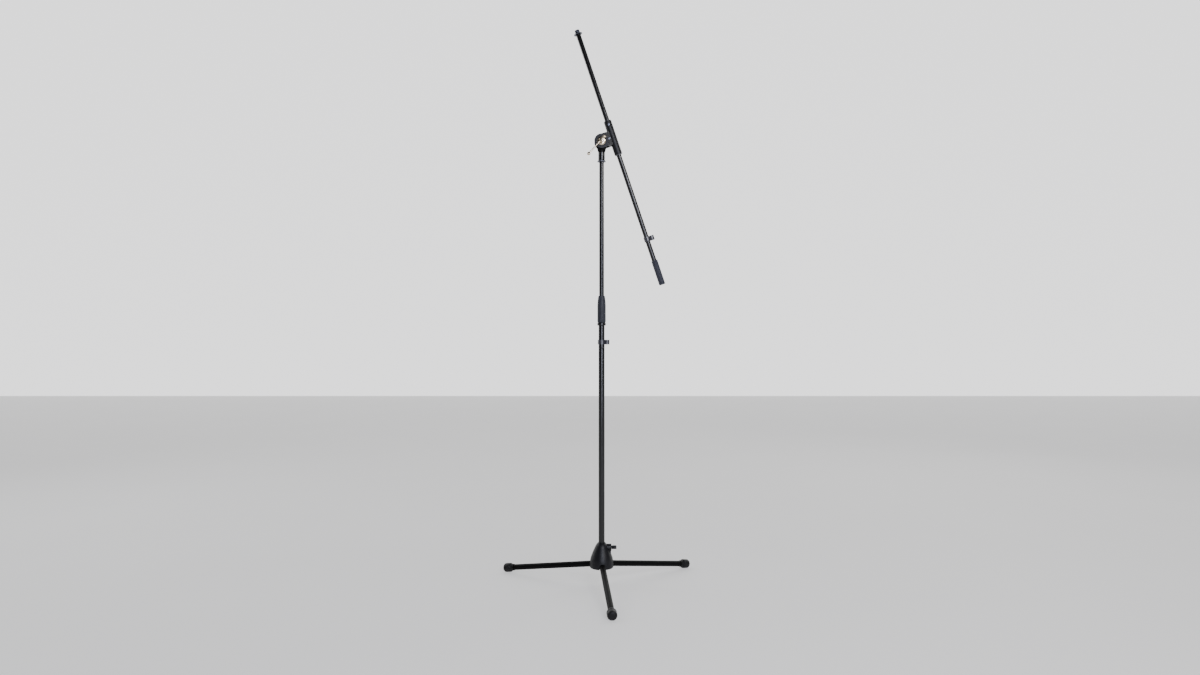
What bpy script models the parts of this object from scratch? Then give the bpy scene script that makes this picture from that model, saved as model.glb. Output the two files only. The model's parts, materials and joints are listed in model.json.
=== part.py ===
# Boom microphone stand: three folding legs, a two-stage pole with a twist clutch, and a boom arm
# that tilts, turns and slides in a clamp.
# Metres, +Z up. The origin is the centre of the flat underside of the pole's end plug, on the pole axis.

import math

import bmesh
import bpy
from mathutils import Vector

MM = 0.001

# Fits
GAP = 0.3 * MM  # between faces that touch or run on each other
SHAFT_GAP = 0.3 * MM  # radial, round a screw, pin or plug
CUT_OVER = 5 * MM  # how far a cutter runs past the face that it opens

# Floor and pole
FLOOR_Z = -50 * MM
LOWER_TUBE_RADIUS = 10 * MM
LOWER_TUBE_WALL = 1.2 * MM
LOWER_TUBE_LENGTH = 831 * MM
TELESCOPE_GAP = 0.8 * MM  # radial, between the two pole tubes
UPPER_TUBE_WALL = 1.2 * MM
UPPER_TUBE_LENGTH = 720 * MM
UPPER_TUBE_SHOWING = 434 * MM  # length above the clutch
PLUG_HEAD_RIM = 1.7 * MM  # past the tube, radially
PLUG_HEAD_HEIGHT = 3.5 * MM
PLUG_DEPTH = 14 * MM

# Legs
LEG_COUNT = 3
FIRST_LEG_ANGLE = math.radians(-85.3)
LEG_TUBE_RADIUS = 9.5 * MM
LEG_TUBE_WALL = 1.2 * MM
LEG_PIVOT_HEIGHT = 65 * MM  # above the floor
LEG_REACH = 353 * MM  # pole axis to the middle of a foot
FOOT_WALL = 5.2 * MM
FOOT_FLAT = 0.8 * MM  # how much of the foot's round underside is flattened
FOOT_LENGTH = 38 * MM
FOOT_COLLAR_WALL = 1.6 * MM
FOOT_COLLAR_LENGTH = 9 * MM
FOOT_NOSE = 14 * MM  # foot middle to its outer end
FOOT_END_WALL = 12 * MM
FOOT_ROUNDING = 9 * MM
KNUCKLE_EYE_INSET = 0.2 * MM  # below the leg tube's surface
KNUCKLE_EYE_TO_SLEEVE = 0.9 * MM
KNUCKLE_SPIGOT_LENGTH = 30 * MM
LEG_PIN_RADIUS = 3 * MM
LEG_PIN_STAND_OUT = 1.2 * MM

# Hub
HUB_BOTTOM_Z = 4 * MM
HUB_REACH = 14.6 * MM  # leg pivots to the hub's widest place
HUB_HEIGHT = 81.6 * MM
HUB_SHELL_WALL = 3 * MM
HUB_POCKET_HEIGHT = 48 * MM
HUB_RIB = 4 * MM
HUB_SLEEVE_WALL = 3.5 * MM
HUB_RIM_ROUNDING = 5 * MM
# the bell's outline: share of its height, share of its radius
BELL = [(0.17, 0.99), (0.33, 0.955), (0.48, 0.868), (0.67, 0.708), (0.82, 0.566), (0.92, 0.455)]
HUB_CROWN_WALL = 2 * MM

# Base lock: a hand screw that presses a pad on the pole
LOCK_Z = 70 * MM
LOCK_BOSS_RADIUS = 11.3 * MM
LOCK_BOSS_LENGTH = 21.8 * MM  # from the pole's surface
LOCK_WEB_DROP = 20.5 * MM  # from the screw's axis down the bell, under the boss
LOCK_WEB_HALF_WIDTH = 7.3 * MM
LOCK_STUD_RADIUS = 4 * MM
LOCK_INSERT_RADIUS = 6 * MM
LOCK_INSERT_LENGTH = 15 * MM
LOCK_PAD_RADIUS = 5 * MM
LOCK_PAD_THICKNESS = 3.2 * MM
KNOB_RADIUS = 6 * MM
KNOB_LENGTH = 16 * MM
WING_SPAN = 29 * MM
WING_LENGTH = 10.5 * MM
WING_THICKNESS = 4.2 * MM
WING_ROUNDING = 4.4 * MM

# Clutch
CLUTCH_RING_WALL = 4 * MM
CLUTCH_RING_HEIGHT = 9 * MM
CLUTCH_GRIP_WALL = 1.8 * MM
CLUTCH_GRIP_TOP_WALL = 2.4 * MM
CLUTCH_MOUTH_GAP = 0.5 * MM  # radial, round the upper tube where it leaves the grip
CLUTCH_GRIP_HEIGHT = 87 * MM
CLUTCH_GRIP_STRAIGHT = 54 * MM
CLUTCH_GROOVE = 2.2 * MM
CLUTCH_OVERLAP = 46 * MM  # of the ring and grip over the lower tube
COLLET_WALL = 1.3 * MM
COLLET_SHOULDER = 10 * MM
COLLET_CONE = 23 * MM
COLLET_TIP_WALL = 1.6 * MM
COLLET_SLOTS = 4
COLLET_SLOT_WIDTH = 1.6 * MM

# Guide bush in the lower end of the upper tube
BUSH_LENGTH = 15 * MM
BUSH_SPIGOT_LENGTH = 20 * MM

# Cable clips
CLIP_HEIGHT = 15 * MM
CLIP_WALL = 2 * MM
CLIP_HOOK_BORE_RADIUS = 6.2 * MM
CLIP_HOOK_SINK = 0.6 * MM  # of the hook's bore into the ring
CLIP_MOUTH = 4.6 * MM
CLIP_LIP_RADIUS = 1.3 * MM
POLE_CLIP_BELOW_CLUTCH = 53.8 * MM
BOOM_CLIP_ABOVE_GRIP = 73 * MM

# Head of the pole
THREAD_RADIUS = 7.94 * MM  # 5/8 inch microphone thread
THREAD_LENGTH = 12 * MM
FITTING_FLANGE_RADIUS = 14 * MM
FITTING_FLANGE_HEIGHT = 2.5 * MM
FITTING_SPIGOT = 28 * MM
COLLAR_RADIUS = 11.2 * MM
COLLAR_HEIGHT = 28 * MM
LUG_INSET = 1.5 * MM  # below the rim of the ears
LUG_THICKNESS = 13 * MM
LUG_NECK_TOP_INSET = 4 * MM  # inside the eye's radius
LUG_NECK_HALF_WIDTH = 11 * MM
LUG_BASE_HEIGHT = 8 * MM
LUG_SPIGOT_LENGTH = 11 * MM
PIVOT_ABOVE_COLLAR = 34.7 * MM

# Boom clamp
BOOM_TILT = math.radians(-18.6)  # about +Y, from upright
SLEEVE_TO_EAR = 2.75 * MM  # between the sleeve and the ears' rim
SLEEVE_LENGTH = 114 * MM
SLEEVE_WALL = 1.85 * MM
ARM_INSET = 1.2 * MM  # each edge of the arm, inside the ears' radius
EAR_RADIUS = 23.5 * MM
EAR_THICKNESS = 8 * MM
ARM_STEP = 0.4 * MM  # arm's face below the ear's
ARM_SLOPE_LENGTH = 15 * MM
ARM_END_FROM_BOOM = 6 * MM
ARM_END_SINK = 2.25 * MM  # into the sleeve
NECK_GAP = 3 * MM  # beside the neck as it swings between the ears
WASHER_INSET = 2 * MM  # inside the eye's radius
WASHER_THICKNESS = 0.9 * MM
PIVOT_SCREW_RADIUS = 4 * MM
NUT_RADIUS = 7.5 * MM
NUT_THICKNESS = 5 * MM
SHELL_SCREW_RADIUS = 1.25 * MM
SHELL_SCREW_HEAD_RADIUS = 3.2 * MM
SHELL_SCREW_HEAD_HEIGHT = 1.8 * MM
SHELL_SCREW_GRIP = 8 * MM
LINER_WALL = 2.3 * MM
LINER_STAND_OUT = 1.5 * MM  # past each end of the sleeve
LINER_GROOVE_DEPTH = 1 * MM
LINER_GROOVE_WIDTH = 4.4 * MM
LINER_SCREW_FROM_END = 14 * MM
LINER_SCREW_RADIUS = 1.5 * MM
LINER_SCREW_HEAD_RADIUS = 3.4 * MM
LINER_SCREW_HEAD_HEIGHT = 1 * MM

# Clamp screw and its sliding handle
CUP_RADIUS = 14 * MM
CUP_HEIGHT = 3.4 * MM
SCREW_HEAD_RADIUS = 8 * MM
SCREW_HEAD_LENGTH = 17 * MM
SCREW_TAIL = 1.5 * MM  # out of the back of the clamp
BAR_RADIUS = 2.1 * MM
BAR_STAND_OFF = 14 * MM  # from the clamp's face
BAR_ANGLE = math.radians(-47)  # about +Y, from the +X direction
BAR_LONG_SIDE = 61 * MM  # screw axis to the far ball's centre
BALL_RADIUS = 5.4 * MM
BALL_DEPTH = 3.5 * MM  # of the bar's end inside a ball

# Boom
BOOM_TUBE_RADIUS = 8 * MM
BOOM_TUBE_WALL = 1.2 * MM
BOOM_LENGTH = 870 * MM
BOOM_TIP_SIDE = 368 * MM  # clamp's middle to the tip
GRIP_WALL = 1.95 * MM
GRIP_LENGTH = 82 * MM
GRIP_END_WALL = 2 * MM

SIDES = 24  # of tubes
LARGE_SIDES = 36  # of the hub and the clamp's ears
SMALL_SIDES = 16

# Places that follow from the sizes above
LEG_PIVOT_Z = FLOOR_Z + LEG_PIVOT_HEIGHT
HUB_BORE_RADIUS = LOWER_TUBE_RADIUS + SHAFT_GAP
HUB_SLEEVE_RADIUS = HUB_BORE_RADIUS + HUB_SLEEVE_WALL
KNUCKLE_EYE_RADIUS = LEG_TUBE_RADIUS - KNUCKLE_EYE_INSET
LEG_PIVOT_RADIUS = HUB_SLEEVE_RADIUS + KNUCKLE_EYE_TO_SLEEVE + KNUCKLE_EYE_RADIUS
HUB_RADIUS = LEG_PIVOT_RADIUS + HUB_REACH
LOCK_BOSS_REACH = LOWER_TUBE_RADIUS + LOCK_BOSS_LENGTH
FOOT_BORE_RADIUS = LEG_TUBE_RADIUS + SHAFT_GAP
FOOT_RADIUS = FOOT_BORE_RADIUS + FOOT_WALL
FOOT_COLLAR_RADIUS = FOOT_BORE_RADIUS + FOOT_COLLAR_WALL
FOOT_MIDDLE_HEIGHT = FOOT_RADIUS - FOOT_FLAT
LEG_SLOPE = math.atan2(LEG_PIVOT_HEIGHT - FOOT_MIDDLE_HEIGHT, LEG_REACH - LEG_PIVOT_RADIUS)
LEG_LENGTH = math.hypot(LEG_PIVOT_HEIGHT - FOOT_MIDDLE_HEIGHT, LEG_REACH - LEG_PIVOT_RADIUS)
SLOT_HALF_WIDTH = LEG_TUBE_RADIUS + GAP
LOWER_TUBE_Z = PLUG_HEAD_HEIGHT + GAP
LOWER_TUBE_TOP = LOWER_TUBE_Z + LOWER_TUBE_LENGTH
LOWER_TUBE_BORE = LOWER_TUBE_RADIUS - LOWER_TUBE_WALL
PLUG_HEAD_RADIUS = LOWER_TUBE_RADIUS + PLUG_HEAD_RIM
UPPER_TUBE_RADIUS = LOWER_TUBE_BORE - TELESCOPE_GAP
UPPER_TUBE_BORE = UPPER_TUBE_RADIUS - UPPER_TUBE_WALL
BOOM_TUBE_BORE = BOOM_TUBE_RADIUS - BOOM_TUBE_WALL
CLUTCH_RING_RADIUS = HUB_BORE_RADIUS + CLUTCH_RING_WALL
COLLET_SKIRT_RADIUS = HUB_BORE_RADIUS + COLLET_WALL
COLLET_TIP_RADIUS = UPPER_TUBE_RADIUS + SHAFT_GAP + COLLET_TIP_WALL
CLUTCH_GRIP_RADIUS = COLLET_SKIRT_RADIUS + GAP + CLUTCH_GRIP_WALL
CLUTCH_GRIP_TOP_RADIUS = UPPER_TUBE_RADIUS + CLUTCH_MOUTH_GAP + CLUTCH_GRIP_TOP_WALL
CLUTCH_RING_Z = LOWER_TUBE_TOP - CLUTCH_OVERLAP
CLUTCH_GRIP_Z = CLUTCH_RING_Z + CLUTCH_RING_HEIGHT + GAP
CLUTCH_TOP = CLUTCH_GRIP_Z + CLUTCH_GRIP_HEIGHT
UPPER_TUBE_TOP = CLUTCH_TOP + UPPER_TUBE_SHOWING
UPPER_TUBE_Z = UPPER_TUBE_TOP - UPPER_TUBE_LENGTH
POLE_CLIP_Z = CLUTCH_RING_Z - POLE_CLIP_BELOW_CLUTCH
FLANGE_TOP = UPPER_TUBE_TOP + GAP + FITTING_FLANGE_HEIGHT
COLLAR_Z = FLANGE_TOP + GAP
COLLAR_TOP = COLLAR_Z + COLLAR_HEIGHT
PIVOT_Z = COLLAR_TOP + PIVOT_ABOVE_COLLAR
LINER_RADIUS = BOOM_TUBE_RADIUS + SHAFT_GAP + LINER_WALL
SLEEVE_BORE_RADIUS = LINER_RADIUS + SHAFT_GAP
SLEEVE_RADIUS = SLEEVE_BORE_RADIUS + SLEEVE_WALL
SLEEVE_OFFSET = EAR_RADIUS + SLEEVE_TO_EAR + SLEEVE_RADIUS  # tilt axis to boom axis
EAR_INNER = LUG_THICKNESS / 2 + WASHER_THICKNESS + 2 * GAP  # from the middle plane
EAR_OUTER = EAR_INNER + EAR_THICKNESS
LUG_RADIUS = EAR_RADIUS - LUG_INSET
LUG_NECK_TOP_HALF_WIDTH = LUG_RADIUS - LUG_NECK_TOP_INSET
LUG_FLANK = LUG_NECK_HALF_WIDTH + 3.6 * MM  # half the neck's width where it leaves the ears
NECK_ROOM = LUG_FLANK + NECK_GAP
WASHER_RADIUS = LUG_RADIUS - WASHER_INSET
LUG_ROOM_RADIUS = EAR_RADIUS - 0.2 * MM
ARM_SLOPE_END = SLEEVE_OFFSET - ARM_END_FROM_BOOM
ARM_SLOPE_START = ARM_SLOPE_END - ARM_SLOPE_LENGTH
ARM_END_HEIGHT = SLEEVE_RADIUS - ARM_END_SINK
ARM_HALF_WIDTH = EAR_RADIUS - ARM_INSET
SHELL_SCREW_OFFSET = (LUG_ROOM_RADIUS + SLEEVE_OFFSET - SLEEVE_BORE_RADIUS) / 2
BAR_HEIGHT = EAR_OUTER + BAR_STAND_OFF  # from the middle plane
GRIP_RADIUS = BOOM_TUBE_RADIUS + SHAFT_GAP + GRIP_WALL
BAR_SHORT_SIDE = SCREW_HEAD_RADIUS + GAP + BALL_RADIUS  # the near ball rests on the screw's head

X_DOWN_TO_Z = (0, math.pi / 2, 0)  # turns a piece made along Z to lie along X


def clear_scene():
    for obj in list(bpy.data.objects):
        bpy.data.objects.remove(obj, do_unlink=True)


def material(name, color, roughness, metallic=0.0):
    mat = bpy.data.materials.new(name)
    mat.use_nodes = True
    shader = mat.node_tree.nodes["Principled BSDF"]
    shader.inputs["Base Color"].default_value = (*color, 1)
    shader.inputs["Roughness"].default_value = roughness
    shader.inputs["Metallic"].default_value = metallic
    mat.diffuse_color = (*color, 1)
    return mat


def gloss_black(name):
    return material(name, (0.012, 0.013, 0.015), 0.22)


def satin_black(name):
    return material(name, (0.02, 0.02, 0.022), 0.5)


def rubber_black(name):
    return material(name, (0.018, 0.018, 0.021), 0.75)


def clutch_grey(name):
    return material(name, (0.055, 0.058, 0.075), 0.6)


def bright_nickel(name):
    return material(name, (0.78, 0.74, 0.68), 0.12, 1.0)


def black_plated(name):
    return material(name, (0.06, 0.062, 0.07), 0.35, 1.0)


def bare_steel(name):
    return material(name, (0.5, 0.5, 0.5), 0.35, 1.0)


def bare_brass(name):
    return material(name, (0.6, 0.45, 0.2), 0.35, 1.0)


def frame_empty(name, location, rotation=(0, 0, 0), parent=None):
    empty = bpy.data.objects.new(name, None)
    bpy.context.collection.objects.link(empty)
    empty.location = location
    empty.rotation_euler = rotation
    empty.parent = parent
    return empty


def piece(name, bm, finish, parent=None, location=(0, 0, 0), rotation=(0, 0, 0)):
    """Put a bmesh into the scene as an object, with its own material."""
    bmesh.ops.recalc_face_normals(bm, faces=bm.faces)
    mesh = bpy.data.meshes.new(name)
    bm.to_mesh(mesh)
    bm.free()
    mesh.shade_smooth()
    mesh.set_sharp_from_angle(angle=math.radians(35))
    obj = bpy.data.objects.new(name, mesh)
    bpy.context.collection.objects.link(obj)
    obj.location = location
    obj.rotation_euler = rotation
    obj.parent = parent
    if finish:
        mesh.materials.append(finish(name))
    return obj


def guide(name, bm, parent=None, location=(0, 0, 0), rotation=(0, 0, 0)):
    """A shape that only cuts or fills another."""
    obj = piece(name, bm, None, parent, location, rotation)
    obj.hide_render = True
    obj.display_type = "WIRE"
    return obj


def combine(obj, other, operation):
    mod = obj.modifiers.new(f"{operation.title()} {other.name}", "BOOLEAN")
    mod.object = other
    mod.operation = operation
    mod.solver = "EXACT"


def cut(obj, *others):
    for other in others:
        combine(obj, other, "DIFFERENCE")


def fuse(obj, *others):
    for other in others:
        combine(obj, other, "UNION")


def turned(profile, sides=SIDES):
    """Turn a closed outline of (radius, height) points round Z. A radius of 0 lies on the axis."""
    bm = bmesh.new()
    verts = [bm.verts.new((radius, 0, height)) for radius, height in profile]
    edges = [bm.edges.new((a, b)) for a, b in zip(verts, verts[1:] + verts[:1])
             if max(abs(a.co.x), abs(b.co.x)) > 1e-9]
    bmesh.ops.spin(bm, geom=verts + edges, cent=(0, 0, 0), axis=(0, 0, 1),
                   angle=2 * math.pi, steps=sides, use_merge=True)
    bmesh.ops.remove_doubles(bm, verts=bm.verts, dist=1e-6)
    return bm


def rod(radius, low, high, sides=SIDES, chamfer=0.0):
    """A solid round bar along Z, with chamfered ends."""
    if not chamfer:
        return turned([(0, low), (radius, low), (radius, high), (0, high)], sides)
    return turned([(0, low), (radius - chamfer, low), (radius, low + chamfer),
                   (radius, high - chamfer), (radius - chamfer, high), (0, high)], sides)


def tube(bore, radius, low, high, sides=SIDES):
    return turned([(bore, low), (radius, low), (radius, high), (bore, high)], sides)


def prism(outline, low, high, axis="Z"):
    """Extrude a flat outline. Its points are (y, z) for axis X, (x, z) for Y and (x, y) for Z."""
    place = {"X": lambda p, q, s: (s, p, q),
             "Y": lambda p, q, s: (p, s, q),
             "Z": lambda p, q, s: (p, q, s)}
    bm = bmesh.new()
    face = bm.faces.new([bm.verts.new(place[axis](p, q, low)) for p, q in outline])
    grown = bmesh.ops.extrude_face_region(bm, geom=[face])["geom"]
    shift = Vector(place[axis](0, 0, high - low))
    bmesh.ops.translate(bm, vec=shift, verts=[v for v in grown if isinstance(v, bmesh.types.BMVert)])
    return bm


def block(low, high):
    outline = [(low[0], low[1]), (high[0], low[1]), (high[0], high[1]), (low[0], high[1])]
    return prism(outline, low[2], high[2])


def arc(center, radius, start, end, steps):
    """Points along an arc; angles in degrees, counter-clockwise from the first axis."""
    angles = [math.radians(start + (end - start) * i / steps) for i in range(steps + 1)]
    return [(center[0] + radius * math.cos(t), center[1] + radius * math.sin(t)) for t in angles]


def rounded_box(half_width, low, high, rounding, steps=4):
    corners = [(half_width, low, -90), (half_width, high, 0),
               (-half_width, high, 90), (-half_width, low, 180)]
    points = []
    for x, z, start in corners:
        inside = (x - math.copysign(rounding, x), z + (rounding if z == low else -rounding))
        points += arc(inside, rounding, start, start + 90, steps)
    return points


def smooth(points, per_span=2):
    """A Catmull-Rom curve through the points."""
    pts = [Vector(p) for p in points]
    pts = [2 * pts[0] - pts[1], *pts, 2 * pts[-1] - pts[-2]]
    out = []
    for a, b, c, d in zip(pts, pts[1:], pts[2:], pts[3:]):
        for i in range(per_span):
            t = i / per_span
            out.append(0.5 * (2 * b + (c - a) * t + (2 * a - 5 * b + 4 * c - d) * t ** 2
                              + (3 * b - a - 3 * c + d) * t ** 3))
    return [tuple(p) for p in [*out, pts[-2]]]


def leg_angle(index):
    return FIRST_LEG_ANGLE + index * 2 * math.pi / LEG_COUNT


def leg_pivot(index):
    angle = leg_angle(index)
    return (LEG_PIVOT_RADIUS * math.cos(angle), LEG_PIVOT_RADIUS * math.sin(angle), LEG_PIVOT_Z)


# Hub


def bell_outline(inset=0.0):
    return [(HUB_RADIUS * share - inset, HUB_BOTTOM_Z + HUB_HEIGHT * up) for up, share in BELL]


def build_hub(lock_frame):
    top = HUB_BOTTOM_Z + HUB_HEIGHT
    rim = arc((HUB_RADIUS - HUB_RIM_ROUNDING, HUB_BOTTOM_Z + HUB_RIM_ROUNDING), HUB_RIM_ROUNDING, -90, 0, 4)
    crown = (HUB_BORE_RADIUS + HUB_CROWN_WALL, top)
    profile = [(HUB_BORE_RADIUS, HUB_BOTTOM_Z), *rim, *smooth([*bell_outline(), crown]),
               (HUB_BORE_RADIUS, top)]
    hub = piece("base_hub", turned(profile, LARGE_SIDES), satin_black)
    start = HUB_SLEEVE_RADIUS - 1 * MM
    boss = guide("lock_boss_shape", rod(LOCK_BOSS_RADIUS, start, LOCK_BOSS_REACH, SIDES, 1 * MM), lock_frame)
    web_low = LOCK_Z - LOCK_WEB_DROP
    web = block((start, -LOCK_WEB_HALF_WIDTH, web_low),
                (LOCK_BOSS_REACH - 1.4 * MM, LOCK_WEB_HALF_WIDTH, LOCK_Z))
    fuse(hub, boss, guide("lock_web_shape", web))
    cut(hub, hub_pockets())
    for index in range(LEG_COUNT):
        number = index + 1
        where = {"location": leg_pivot(index)}
        slot = [*arc((0, 0), SLOT_HALF_WIDTH, 0, 180, 12),
                (-SLOT_HALF_WIDTH, -LEG_PIVOT_HEIGHT), (SLOT_HALF_WIDTH, -LEG_PIVOT_HEIGHT)]
        inner = LEG_PIVOT_RADIUS - HUB_SLEEVE_RADIUS
        lie = {"rotation": (0, LEG_SLOPE, leg_angle(index))}
        cut(hub, guide(f"leg_slot_{number}", prism(slot, -inner, HUB_RADIUS, "X"), **where, **lie))
        eye_half, eye_reach = SLOT_HALF_WIDTH + GAP, KNUCKLE_EYE_RADIUS + 1.5 * GAP
        eye_room = block((-eye_reach, -eye_half, -SLOT_HALF_WIDTH), (eye_reach, eye_half, eye_reach))
        cut(hub, guide(f"eye_room_{number}", eye_room, **where, **lie))
        half = pin_half_length() + GAP
        cut(hub, guide(f"leg_pin_hole_{number}", rod(LEG_PIN_RADIUS + SHAFT_GAP, -half, half, SMALL_SIDES),
                       rotation=(math.pi / 2, 0, leg_angle(index)), **where))
    bore = guide("pole_bore", rod(HUB_BORE_RADIUS, HUB_BOTTOM_Z - CUT_OVER, top + CUT_OVER))
    pad_end = lock_pad_end() + GAP
    pad_bore = LOCK_PAD_RADIUS + SHAFT_GAP
    stud_bore = LOCK_STUD_RADIUS + SHAFT_GAP
    insert_bore = LOCK_INSERT_RADIUS + SHAFT_GAP
    insert_start = LOCK_BOSS_REACH - LOCK_INSERT_LENGTH - GAP
    mouth = LOCK_BOSS_REACH + CUT_OVER
    lock_hole = turned([(0, 0), (pad_bore, 0), (pad_bore, pad_end), (stud_bore, pad_end),
                        (stud_bore, insert_start), (insert_bore, insert_start),
                        (insert_bore, mouth), (0, mouth)], SMALL_SIDES)
    cut(hub, bore, guide("lock_hole", lock_hole, lock_frame))


def hub_pockets():
    """The three hollows between the leg slots, open at the underside."""
    low = HUB_BOTTOM_Z - CUT_OVER
    high = HUB_BOTTOM_Z + HUB_POCKET_HEIGHT
    outer = [(r, z) for r, z in smooth(bell_outline(HUB_SHELL_WALL)) if z < high - 2 * MM]
    roof_radius = outer[-1][0] - 1.5 * MM
    shape = [(HUB_SLEEVE_RADIUS, low), (outer[0][0], low), *outer,
             (roof_radius, high), (HUB_SLEEVE_RADIUS, high)]
    pockets = guide("hub_pockets", turned(shape, LARGE_SIDES))
    half = SLOT_HALF_WIDTH + HUB_RIB
    for index in range(LEG_COUNT):
        rib = block((0, -half, low - CUT_OVER), (2 * HUB_RADIUS, half, high + CUT_OVER))
        cut(pockets, guide(f"rib_room_{index + 1}", rib, rotation=(0, 0, leg_angle(index))))
    return pockets


def pin_half_length():
    return SLOT_HALF_WIDTH + HUB_RIB + LEG_PIN_STAND_OUT


def lock_pad_end():
    return LOWER_TUBE_RADIUS + GAP + LOCK_PAD_THICKNESS


def build_lock(lock_frame):
    """The hand screw; its frame's Z runs out along the screw."""
    insert_start = LOCK_BOSS_REACH - LOCK_INSERT_LENGTH
    piece("lock_insert", tube(LOCK_STUD_RADIUS + SHAFT_GAP, LOCK_INSERT_RADIUS, insert_start,
                              LOCK_BOSS_REACH, SMALL_SIDES), bare_brass, lock_frame)
    # the pad's inner face is hollowed to the pole's curve
    pad = piece("lock_pad", rod(LOCK_PAD_RADIUS, LOWER_TUBE_RADIUS - 2 * MM, lock_pad_end(), SMALL_SIDES),
                satin_black, lock_frame)
    cut(pad, guide("pad_hollow", rod(LOWER_TUBE_RADIUS + GAP, -LOCK_BOSS_RADIUS, LOCK_BOSS_RADIUS),
                   location=(0, 0, LOCK_Z)))
    knob_start = LOCK_BOSS_REACH + 2 * GAP
    knob_end = knob_start + KNOB_LENGTH
    stud_end = knob_end - 4 * MM
    piece("lock_stud", rod(LOCK_STUD_RADIUS, lock_pad_end() + GAP, stud_end, SMALL_SIDES, 0.5 * MM),
          bare_steel, lock_frame)
    knob = piece("lock_knob", rod(KNOB_RADIUS, knob_start, knob_end, SMALL_SIDES, 1 * MM),
                 satin_black, lock_frame)
    wing_start = knob_end - 1.5 * MM - WING_LENGTH
    wings = rounded_box(WING_SPAN / 2, wing_start, wing_start + WING_LENGTH, WING_ROUNDING)
    fuse(knob, guide("wing_shape", prism(wings, -WING_THICKNESS / 2, WING_THICKNESS / 2, "X"), lock_frame))
    cut(knob, guide("stud_hole", rod(LOCK_STUD_RADIUS + SHAFT_GAP, knob_start - CUT_OVER, stud_end + GAP,
                                     SMALL_SIDES), lock_frame))


# Legs


def build_leg(index):
    number = index + 1
    angle = leg_angle(index)
    # the frame's X runs out along the leg, and its Y is the pin
    frame = frame_empty(f"leg_joint_{number}", leg_pivot(index), (0, LEG_SLOPE, angle))
    half = pin_half_length()
    piece(f"leg_pin_{number}", rod(LEG_PIN_RADIUS, -half, half, SMALL_SIDES, 0.5 * MM), bare_steel,
          location=leg_pivot(index), rotation=(math.pi / 2, 0, angle))

    tube_start = KNUCKLE_EYE_RADIUS + GAP
    foot_end = LEG_LENGTH + FOOT_NOSE
    foot_start = foot_end - FOOT_LENGTH
    tube_end = foot_end - FOOT_END_WALL - GAP
    leg_bore = LEG_TUBE_RADIUS - LEG_TUBE_WALL
    piece(f"leg_tube_{number}", tube(leg_bore, LEG_TUBE_RADIUS, tube_start, tube_end), satin_black,
          frame, rotation=X_DOWN_TO_Z)

    eye_half = LEG_TUBE_RADIUS - GAP
    knuckle = piece(f"leg_knuckle_{number}", rod(KNUCKLE_EYE_RADIUS, -eye_half, eye_half, SIDES, 0.6 * MM),
                    satin_black, frame, rotation=(math.pi / 2, 0, 0))
    spigot = rod(leg_bore - SHAFT_GAP, 2 * MM, tube_start + KNUCKLE_SPIGOT_LENGTH, SIDES)
    fuse(knuckle, guide(f"knuckle_spigot_{number}", spigot, frame, rotation=X_DOWN_TO_Z))
    cut(knuckle, guide(f"knuckle_hole_{number}", rod(LEG_PIN_RADIUS + SHAFT_GAP, -half, half, SMALL_SIDES),
                       frame, rotation=(math.pi / 2, 0, 0)))

    collar_end = foot_start + FOOT_COLLAR_LENGTH
    nose = arc((FOOT_RADIUS - FOOT_ROUNDING, foot_end - FOOT_ROUNDING), FOOT_ROUNDING, 0, 90, 4)
    shoulder = arc((FOOT_RADIUS - 4 * MM, collar_end + 4 * MM), 4 * MM, -70, 0, 3)
    boot = turned([(FOOT_BORE_RADIUS, foot_start), (FOOT_COLLAR_RADIUS - 0.5 * MM, foot_start),
                   (FOOT_COLLAR_RADIUS, foot_start + 0.7 * MM), (FOOT_COLLAR_RADIUS, collar_end),
                   *shoulder, *nose, (0, foot_end), (0, foot_end - FOOT_END_WALL),
                   (FOOT_BORE_RADIUS, foot_end - FOOT_END_WALL)])
    foot = piece(f"foot_{number}", boot, rubber_black, frame, rotation=X_DOWN_TO_Z)
    reach = 3 * FOOT_RADIUS
    floor = block((-reach, -reach, FLOOR_Z - reach), (reach, reach, FLOOR_Z))
    under = (LEG_REACH * math.cos(angle), LEG_REACH * math.sin(angle), 0)
    cut(foot, guide(f"floor_cut_{number}", floor, location=under))


# Pole


def build_lower_pole():
    piece("lower_tube", tube(LOWER_TUBE_BORE, LOWER_TUBE_RADIUS, LOWER_TUBE_Z, LOWER_TUBE_TOP), gloss_black)
    head = PLUG_HEAD_HEIGHT
    plug_radius = LOWER_TUBE_BORE - SHAFT_GAP
    piece("pole_end_plug", turned([(0, 0), (PLUG_HEAD_RADIUS - 0.8 * MM, 0), (PLUG_HEAD_RADIUS, 0.8 * MM),
                                   (PLUG_HEAD_RADIUS, head), (plug_radius, head),
                                   (plug_radius, head + PLUG_DEPTH), (0, head + PLUG_DEPTH)]), rubber_black)


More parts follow.
